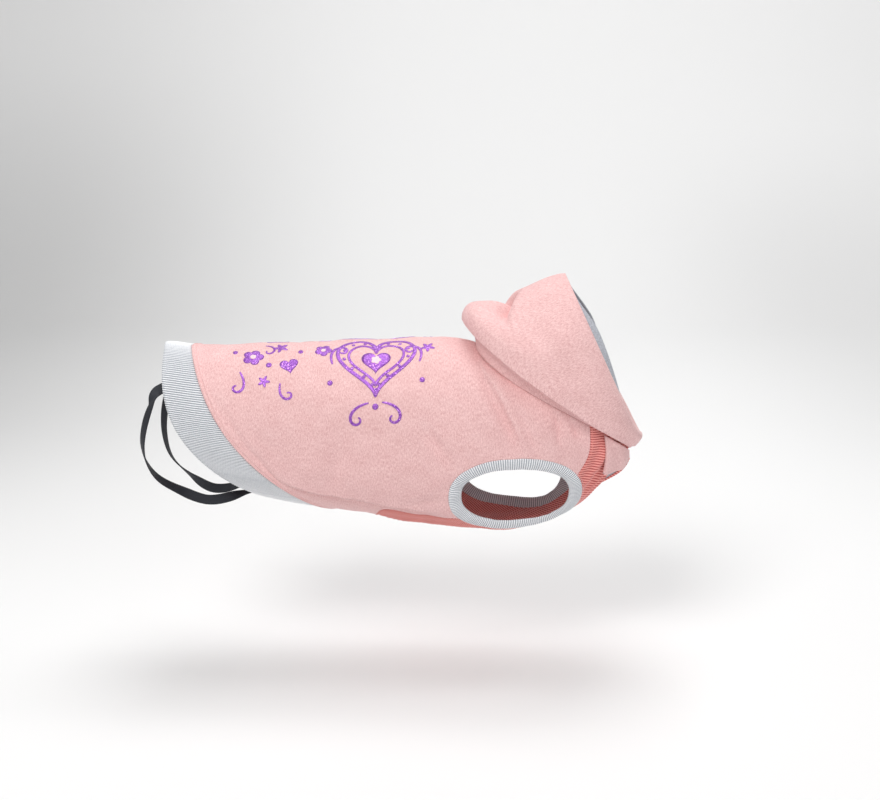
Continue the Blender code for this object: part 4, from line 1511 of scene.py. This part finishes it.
class Chart:
    """The back laid flat: metres along the garment and metres down from the spine."""

    def __init__(self, low: float = -0.10, high: float = 0.13, deepest: float = 0.12) -> None:
        """Work out where flat places lie on the body.

        Args:
            low: First place along the garment.
            high: Last place along the garment.
            deepest: Greatest length down from the spine.
        """
        self.along = np.linspace(low, high, 93)
        self.down = np.linspace(0.0, deepest, 61)
        angles = np.linspace(0.0, 0.72 * math.pi, 100)
        sections = np.linspace(HEM_SEAM, NECK_SEAM, 240)
        found = [np.interp(self.along, BODY.plain(sections, angle)[:, 0], sections) for angle in angles]
        found = np.stack(found, axis=1)
        girth = girth_from_top(BODY.plain(found, angles[None, :]), 0)
        self.section = np.stack([np.interp(self.down, run, row) for run, row in zip(girth, found)])
        self.angle = np.stack([np.interp(self.down, run, angles) for run in girth])

    def skin(self, flat: Array, lift: float) -> Array:
        """Return points on the body over flat places, positive ones on the right side."""
        x = (flat[..., 0] - self.along[0]) / (self.along[1] - self.along[0])
        v = np.abs(flat[..., 1]) / self.down[1]
        i = np.clip(x.astype(int), 0, len(self.along) - 2)
        j = np.clip(v.astype(int), 0, len(self.down) - 2)
        a, b = x - i, v - j

        def read(table: Array) -> Array:
            first = table[i, j] * (1.0 - b) + table[i, j + 1] * b
            return first * (1.0 - a) + (table[i + 1, j] * (1.0 - b) + table[i + 1, j + 1] * b) * a

        return BODY.skin(read(self.section), read(self.angle) * np.sign(flat[..., 1]), lift)


@dataclass
class Print:
    """Purple glitter print of hearts, flowers, stars, dots and scrolls on both sides of the back."""

    finishes: Finishes
    chart: Chart = field(default_factory=Chart)
    lift: float = 0.00035

    def film(self, flat: Array, lift: float, ring: bool) -> Shape:
        """Return a thin closed film over a grid of flat places."""
        outer, inner = self.chart.skin(flat, lift), self.chart.skin(flat, -0.0002)
        return wall(outer, inner, closed_ring(flat) if ring else flat, ring)

    def ribbon(self, line: Array, width: Array) -> Shape:
        """Return a line of the print, drawn along flat places."""
        ahead = unit(np.gradient(line, axis=0))
        side = np.stack([-ahead[:, 1], ahead[:, 0]], axis=1)
        share = np.linspace(-0.5, 0.5, 5)[None, :, None]
        flat = line[:, None] + side[:, None] * share * np.broadcast_to(width, len(line))[:, None, None]
        return self.film(flat, self.lift, False)

    def spot(self, spot: Spot, side: Side, lift: float) -> Shape:
        """Return one filled motif."""
        turn = math.radians(spot.turn_deg)
        turned = np.array([[math.cos(turn), math.sin(turn)], [-math.sin(turn), math.cos(turn)]])
        small = spot.motif is Motif.DOT
        rim = spot.motif.rim(18 if small else 60) @ turned * spot.reach
        rows = np.linspace(0.02, 1.0, 3 if small else 6)
        flat = np.array([spot.along, spot.down]) + rim[None] * rows[:, None, None]
        return self.film(flat * np.array([1.0, -side.value]), lift, True)

    def scroll(self, scroll: Scroll, side: Side) -> Shape:
        """Return one curling line."""
        share = np.linspace(0.0, 1.0, 90)
        bend = scroll.turn_start_deg * share + (scroll.turn_end_deg - scroll.turn_start_deg) * share**3 / 3.0
        heading = np.radians(scroll.heading_deg + bend)
        steps = np.stack([np.cos(heading), np.sin(heading)], axis=1) * scroll.length / len(share)
        line = np.array([scroll.along, scroll.down]) + np.cumsum(steps, axis=0)
        width = scroll.width * (0.45 + 0.55 * np.sin(math.pi * share) ** 0.6)
        return self.ribbon(line * np.array([1.0, -side.value]), width)

    def heart_lines(self, side: Side) -> list[Shape]:
        """Return the double outline of the large heart, with dots between."""
        rim = Motif.HEART.rim(240)
        rim = np.concatenate([rim, rim[:1]])
        middle, flip = np.array([0.058, 0.040]), np.array([1.0, -side.value])
        lines = [(0.0400, 0.0036), (0.0285, 0.0026)]
        shapes = [self.ribbon((middle + rim * reach) * flip, width) for reach, width in lines]
        for place in rim[6:-6:12] * 0.0342 + middle:
            shapes.append(self.spot(Spot(Motif.DOT, place[0], place[1], 0.0017, 0.0), side, self.lift))
        return shapes

    def build(self) -> list[bpy.types.Object]:
        """Build the print and its loose glitter flakes."""
        shapes = []
        for side in Side:
            shapes += self.heart_lines(side)
            shapes += [self.spot(spot, side, self.lift) for spot in GLITTER_SPOTS]
            shapes += [self.scroll(scroll, side) for scroll in SCROLLS]
        pink = [self.spot(spot, side, self.lift + 0.0002) for side in Side for spot in PINK_SPOTS]
        ink = add_mesh("print_glitter", together(shapes), self.finishes.glitter)
        accent = add_mesh("print_pink", together(pink), self.finishes.outline)
        flakes = add_mesh("print_flakes", together(shapes), self.finishes.flake)
        GlitterNodes().scatter(flakes, self.finishes.flake)
        pieces = [ink, accent, flakes]
        for piece in pieces:
            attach(piece, "root")
        return pieces


class GeometryTree(Tree):
    """A geometry node group with named inputs, applied as a modifier."""

    def __init__(self, name: str, **kinds: str) -> None:
        """Make the group.

        Args:
            name: The group's name.
            kinds: Socket types of its inputs by name, besides the geometry and the material.
        """
        super().__init__(bpy.data.node_groups.new(name, "GeometryNodeTree"))
        face = self.tree.interface
        face.new_socket(name="Geometry", in_out="INPUT", socket_type="NodeSocketGeometry")
        self.names: dict[str, str] = {}
        for label, kind in {**kinds, "material": "Material"}.items():
            socket = face.new_socket(name=label, in_out="INPUT", socket_type=f"NodeSocket{kind}")
            self.names[label] = socket.identifier
        face.new_socket(name="Geometry", in_out="OUTPUT", socket_type="NodeSocketGeometry")
        self.start = self.tree.nodes.new("NodeGroupInput")

    def given(self, name: str) -> Wire:
        """Return one of the group's inputs."""
        return self.out(self.start, name)

    def end(self, instances: Wire) -> None:
        """End the group in real meshes with the given material."""
        real = self.add("GeometryNodeRealizeInstances", None, {"Geometry": instances})
        done = self.add(
            "GeometryNodeSetMaterial", None, {"Geometry": real.outputs[0], "Material": self.given("material")}
        )
        self.add("NodeGroupOutput", None, {"Geometry": done.outputs[0]})

    def apply(self, thing: bpy.types.Object, **values: object) -> bpy.types.Object:
        """Run the group on an object and keep the outcome as its mesh."""
        modifier = thing.modifiers.new(self.tree.name, "NODES")
        modifier.node_group = self.tree
        for name, value in values.items():
            modifier[self.names[name]] = value
        return settle(thing)


class GlitterNodes(GeometryTree):
    """Scatters small flat flakes over the print."""

    def __init__(self) -> None:
        """Build the group."""
        super().__init__("glitter_flakes", density="Float", seed="Int", reach="Float")
        points = self.add(
            "GeometryNodeDistributePointsOnFaces",
            {"distribute_method": "RANDOM"},
            {"Mesh": self.given("Geometry"), "Density": self.given("density"), "Seed": self.given("seed")},
        )
        flake = self.add("GeometryNodeMeshIcoSphere", None, {"Radius": self.given("reach"), "Subdivisions": 1})
        flat = self.add("ShaderNodeCombineXYZ", None, {"X": 1.0, "Y": 1.0, "Z": 0.35})
        placed = self.add(
            "GeometryNodeInstanceOnPoints",
            None,
            {
                "Points": self.out(points, "Points"),
                "Instance": self.out(flake, "Mesh"),
                "Rotation": self.out(points, "Rotation"),
                "Scale": self.out(flat),
            },
        )
        self.end(self.out(placed))

    def scatter(self, thing: bpy.types.Object, material: bpy.types.Material) -> bpy.types.Object:
        """Turn a printed film into the flakes that lie on it."""
        return self.apply(thing, density=180000.0, seed=5, reach=0.00042, material=material)


class StitchNodes(GeometryTree):
    """Sets threads along lines, each turned along its line and lying flat."""

    def __init__(self) -> None:
        """Build the group."""
        super().__init__("stitches", pitch="Float", length="Float", width="Float", height="Float")
        curve = self.add("GeometryNodeMeshToCurve", None, {"Mesh": self.given("Geometry")})
        spaced = self.add(
            "GeometryNodeResampleCurve", {"mode": "LENGTH"}, {"Curve": self.out(curve), "Length": self.given("pitch")}
        )
        thread = self.add("GeometryNodeMeshIcoSphere", None, {"Radius": 0.5, "Subdivisions": 1})
        facing = self.add(
            "GeometryNodeInputNamedAttribute", {"data_type": "FLOAT_VECTOR"}, {"Name": "facing"}
        )
        turned = self.add(
            "FunctionNodeAxesToRotation",
            {"primary_axis": "X", "secondary_axis": "Z"},
            {
                "Primary Axis": self.out(self.add("GeometryNodeInputTangent")),
                "Secondary Axis": self.out(facing, "Attribute"),
            },
        )
        size = self.add(
            "ShaderNodeCombineXYZ",
            None,
            {"X": self.given("length"), "Y": self.given("width"), "Z": self.given("height")},
        )
        placed = self.add(
            "GeometryNodeInstanceOnPoints",
            None,
            {
                "Points": self.out(spaced),
                "Instance": self.out(thread, "Mesh"),
                "Rotation": self.out(turned),
                "Scale": self.out(size),
            },
        )
        self.end(self.out(placed))


class StitchLine(NamedTuple):
    """A line of stitches: its points and the way out of the cloth."""

    points: Array
    facing: Array


@dataclass
class Stitching:
    """Every visible row of stitches on the garment."""

    finishes: Finishes
    armhole: Armhole
    panel: BodyPanel

    @staticmethod
    def along(form: TubeForm, section: Array, angle: Array, lift: Array) -> StitchLine:
        """Return a line over a form's folded outside."""
        section, angle = np.broadcast_arrays(section, angle)
        return StitchLine(form.skin(section, angle, lift), form.normals(section, angle))

    def split(self, line: StitchLine) -> list[StitchLine]:
        """Return the pieces of a line that stay clear of the armholes."""
        clear = self.armhole.clear(line.points, 0.003).astype(int)
        breaks = np.flatnonzero(np.diff(clear)) + 1
        spans = np.split(np.arange(len(clear)), breaks)
        return [StitchLine(line.points[span], line.facing[span]) for span in spans if clear[span[0]] and len(span) > 3]

    def pink_lines(self) -> list[StitchLine]:
        """Return the rows on the fleece."""
        round_angle = np.linspace(-math.pi, math.pi, 500)
        lines = []
        for behind in (0.0018, 0.0052):
            section = HEM_SEAM + behind / 0.055
            lift = self.panel.seam_relief(np.array(section), round_angle) + 0.0001
            lines.append(self.along(BODY, np.array(section), round_angle, lift))
        for side in Side:
            section, angle = self.armhole.find(*self.armhole.outline(0.0022))
            line = self.along(BODY, np.append(section, section[0]), np.append(angle, angle[0]), 0.0001)
            lines.append(StitchLine(self.armhole.sided(line.points, side), self.armhole.sided(line.facing, side)))
            section = np.linspace(CHEST_START + 0.3, NECK_SEAM - 0.1, 300)
            angle = -side.value * (math.pi - chest_spread(section) - 0.030)
            lines += self.split(self.along(BODY, section, angle, 0.0001))
        for behind in (0.46, 0.40):
            lines.append(self.along(HOOD, np.array(OPENING - behind), round_angle, 0.0006))
        return lines

    def coral_lines(self) -> list[StitchLine]:
        """Return the rows on the chest panel's edges."""
        lines = []
        for side in Side:
            section = np.linspace(CHEST_START + 0.3, NECK_SEAM - 0.1, 300)
            angle = -side.value * (math.pi - chest_spread(section) + 0.030)
            lines += self.split(self.along(BODY, section, angle, 0.0004))
        return lines

    @staticmethod
    def draw(name: str, lines: Sequence[StitchLine]) -> bpy.types.Object:
        """Return an object of bare edges along the lines."""
        points = np.concatenate([line.points for line in lines])
        facing = np.concatenate([line.facing for line in lines])
        starts = np.cumsum([0] + [len(line.points) for line in lines])
        edges = [np.stack([np.arange(a, b - 1), np.arange(a + 1, b)], axis=1) for a, b in zip(starts, starts[1:])]
        edges = np.concatenate(edges)
        mesh = bpy.data.meshes.new(name)
        mesh.vertices.add(len(points))
        mesh.vertices.foreach_set("co", points.astype(np.float32).ravel())
        mesh.edges.add(len(edges))
        mesh.edges.foreach_set("vertices", edges.astype(np.int32).ravel())
        layer = mesh.attributes.new("facing", "FLOAT_VECTOR", "POINT")
        layer.data.foreach_set("vector", facing.astype(np.float32).ravel())
        thing = bpy.data.objects.new(name, mesh)
        bpy.context.scene.collection.objects.link(thing)
        return thing

    def build(self) -> list[bpy.types.Object]:
        """Build the stitches."""
        nodes = StitchNodes()
        groups = (
            ("stitches_pink", self.pink_lines(), self.finishes.pink_thread, "fleece"),
            ("stitches_coral", self.coral_lines(), self.finishes.coral_thread, "coral_rib"),
        )
        pieces = []
        for name, lines, material, slot in groups:
            thing = self.draw(name, lines)
            nodes.apply(thing, pitch=0.0027, length=0.0022, width=0.0006, height=0.0004, material=material)
            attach(thing, "root")
            pieces.append(thing)
        return pieces


@dataclass
class Studio:
    """Pale floor with a curved backdrop, soft lights and the camera."""

    floor_z: float = -0.335
    aim: tuple = (0.120, 0.0, -0.0573)
    place: tuple = (0.120, -1.44889, 0.33093)
    lens: float = 61.364

    def backdrop(self) -> bpy.types.Object:
        """Build one sheet that runs from the floor up the back."""
        turn = np.linspace(0.0, math.pi / 2.0, 24)
        radius, front, back = 0.8, -3.0, 1.6
        y = np.concatenate([[front], back + radius * np.sin(turn), [back + radius]])
        z = np.concatenate([[0.0], radius - radius * np.cos(turn), [4.0]]) + self.floor_z
        x = np.array([-5.0, 5.0])
        points = np.array([(side, a, b) for a, b in zip(y, z) for side in x])
        row = np.arange(len(y) - 1)
        faces = np.stack([row * 2, row * 2 + 1, row * 2 + 3, row * 2 + 2], axis=1)
        grey = Sweep("studio").material()
        sheet = add_mesh("backdrop", Shape(points, faces, np.zeros((len(faces), 4, 2))), grey)
        return sheet

    @staticmethod
    def area(name: str, place: tuple, aim: tuple, size: float, power: float, colour: Colour) -> None:
        """Add one soft square light that faces a point."""
        data = bpy.data.lights.new(name, "AREA")
        data.size, data.energy, data.color = size, power, colour
        light = bpy.data.objects.new(name, data)
        light.location = place
        light.rotation_euler = (Vector(aim) - Vector(place)).to_track_quat("-Z", "Y").to_euler()
        bpy.context.scene.collection.objects.link(light)

    def build(self) -> None:
        """Build the stage, the lights, the world and the camera."""
        self.backdrop()
        self.area("key", (-0.7, -1.5, 1.7), (0.1, 0.0, -0.05), 0.9, 31.0, (1.0, 0.99, 0.98))
        self.area("fill", (1.6, -1.6, 0.7), (0.1, 0.0, -0.05), 1.6, 10.0, (0.98, 0.99, 1.0))
        self.area("top", (0.2, 0.2, 1.7), (0.1, 0.0, -0.05), 0.9, 12.0, (1.0, 1.0, 1.0))
        self.area("wall", (0.6, 0.9, 2.2), (0.7, 2.4, 0.8), 1.8, 26.0, (1.0, 1.0, 1.0))
        world = bpy.data.worlds.new("studio")
        world.use_nodes = True
        world.node_tree.nodes["Background"].inputs["Color"].default_value = (1.0, 1.0, 1.0, 1.0)
        world.node_tree.nodes["Background"].inputs["Strength"].default_value = 0.26
        scene = bpy.context.scene
        scene.world = world
        scene.view_settings.view_transform = "Standard"
        data = bpy.data.cameras.new("camera")
        data.lens, data.sensor_width, data.sensor_fit = self.lens, 36.0, "HORIZONTAL"
        camera = bpy.data.objects.new("camera", data)
        camera.location = self.place
        camera.rotation_euler = (Vector(self.aim) - Vector(self.place)).to_track_quat("-Z", "Y").to_euler()
        scene.collection.objects.link(camera)
        scene.camera = camera


class Cut(NamedTuple):
    """A piece of cloth as it was cut: flat width, length and area, how it is held, and what goes with it."""

    piece: str
    width: float
    length: float
    area: float
    held: str
    others: tuple[str, ...]


CUTS = (
    Cut("fleece_body", 0.440, 0.300, 0.1180, "stretched", ("print_glitter", "print_pink", "print_flakes", "stitches_pink")),
    Cut("coral_chest", 0.130, 0.240, 0.0260, "gathered", ("stitches_coral",)),
    Cut("rib_hem", 0.046, 0.500, 0.0230, "stretched", ()),
    Cut("rib_armhole_right", 0.015, 0.350, 0.0052, "stretched", ()),
    Cut("rib_armhole_left", 0.015, 0.350, 0.0052, "stretched", ()),
    Cut("fleece_hood", 0.400, 0.130, 0.0470, "folded", ()),
    Cut("grey_lining", 0.380, 0.120, 0.0420, "folded", ()),
    Cut("fleece_collar", 0.034, 0.085, 0.0016, "folded", ()),
    Cut("fleece_flap", 0.017, 0.046, 0.0007, "folded", ("lining_flap", "coral_flap_edge")),
    Cut("elastic_loop_right", 0.010, 0.300, 0.0030, "hung", ()),
    Cut("elastic_loop_left", 0.010, 0.300, 0.0030, "hung", ()),
)


def declare_cloth() -> None:
    """Look up the objects that go with each cut piece."""
    for cut in CUTS:
        others = [bpy.data.objects[name] for name in cut.others]


def main() -> None:
    """Build the garment piece by piece, then the studio."""
    logging.basicConfig(level=logging.INFO, format="%(message)s")
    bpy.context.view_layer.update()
    finishes = Finishes()
    armhole = Armhole()
    panel = BodyPanel(finishes, armhole)
    body = panel.build()
    LOG.info("body panel: %d faces", len(body.data.polygons))
    chest = ChestPanel(finishes, armhole).build()
    LOG.info("chest panel: %d faces", len(chest.data.polygons))
    hem = HemBand(finishes).build()
    LOG.info("hem band: %d faces", len(hem.data.polygons))
    bindings = [Binding(finishes, armhole, side).build() for side in Side]
    loops = [LegLoop(finishes, side).build() for side in Side]
    LOG.info("bindings and leg loops: %d pieces", len(bindings) + len(loops))
    hood = Hood(finishes)
    shell, lining = hood.shell(), hood.lining()
    LOG.info("hood: %d and %d faces", len(shell.data.polygons), len(lining.data.polygons))
    ends = CollarEnds(finishes)
    collar, flap = ends.front(), ends.flap()
    LOG.info("collar ends: %s and %d flap pieces", collar.name, len(flap))
    printed = Print(finishes).build()
    LOG.info("print: %d pieces, %d faces", len(printed), sum(len(piece.data.polygons) for piece in printed))
    stitches = Stitching(finishes, armhole, panel).build()
    LOG.info("stitches: %d faces", sum(len(piece.data.polygons) for piece in stitches))
    declare_cloth()
    Studio().build()


if __name__ == "__main__":
    main()
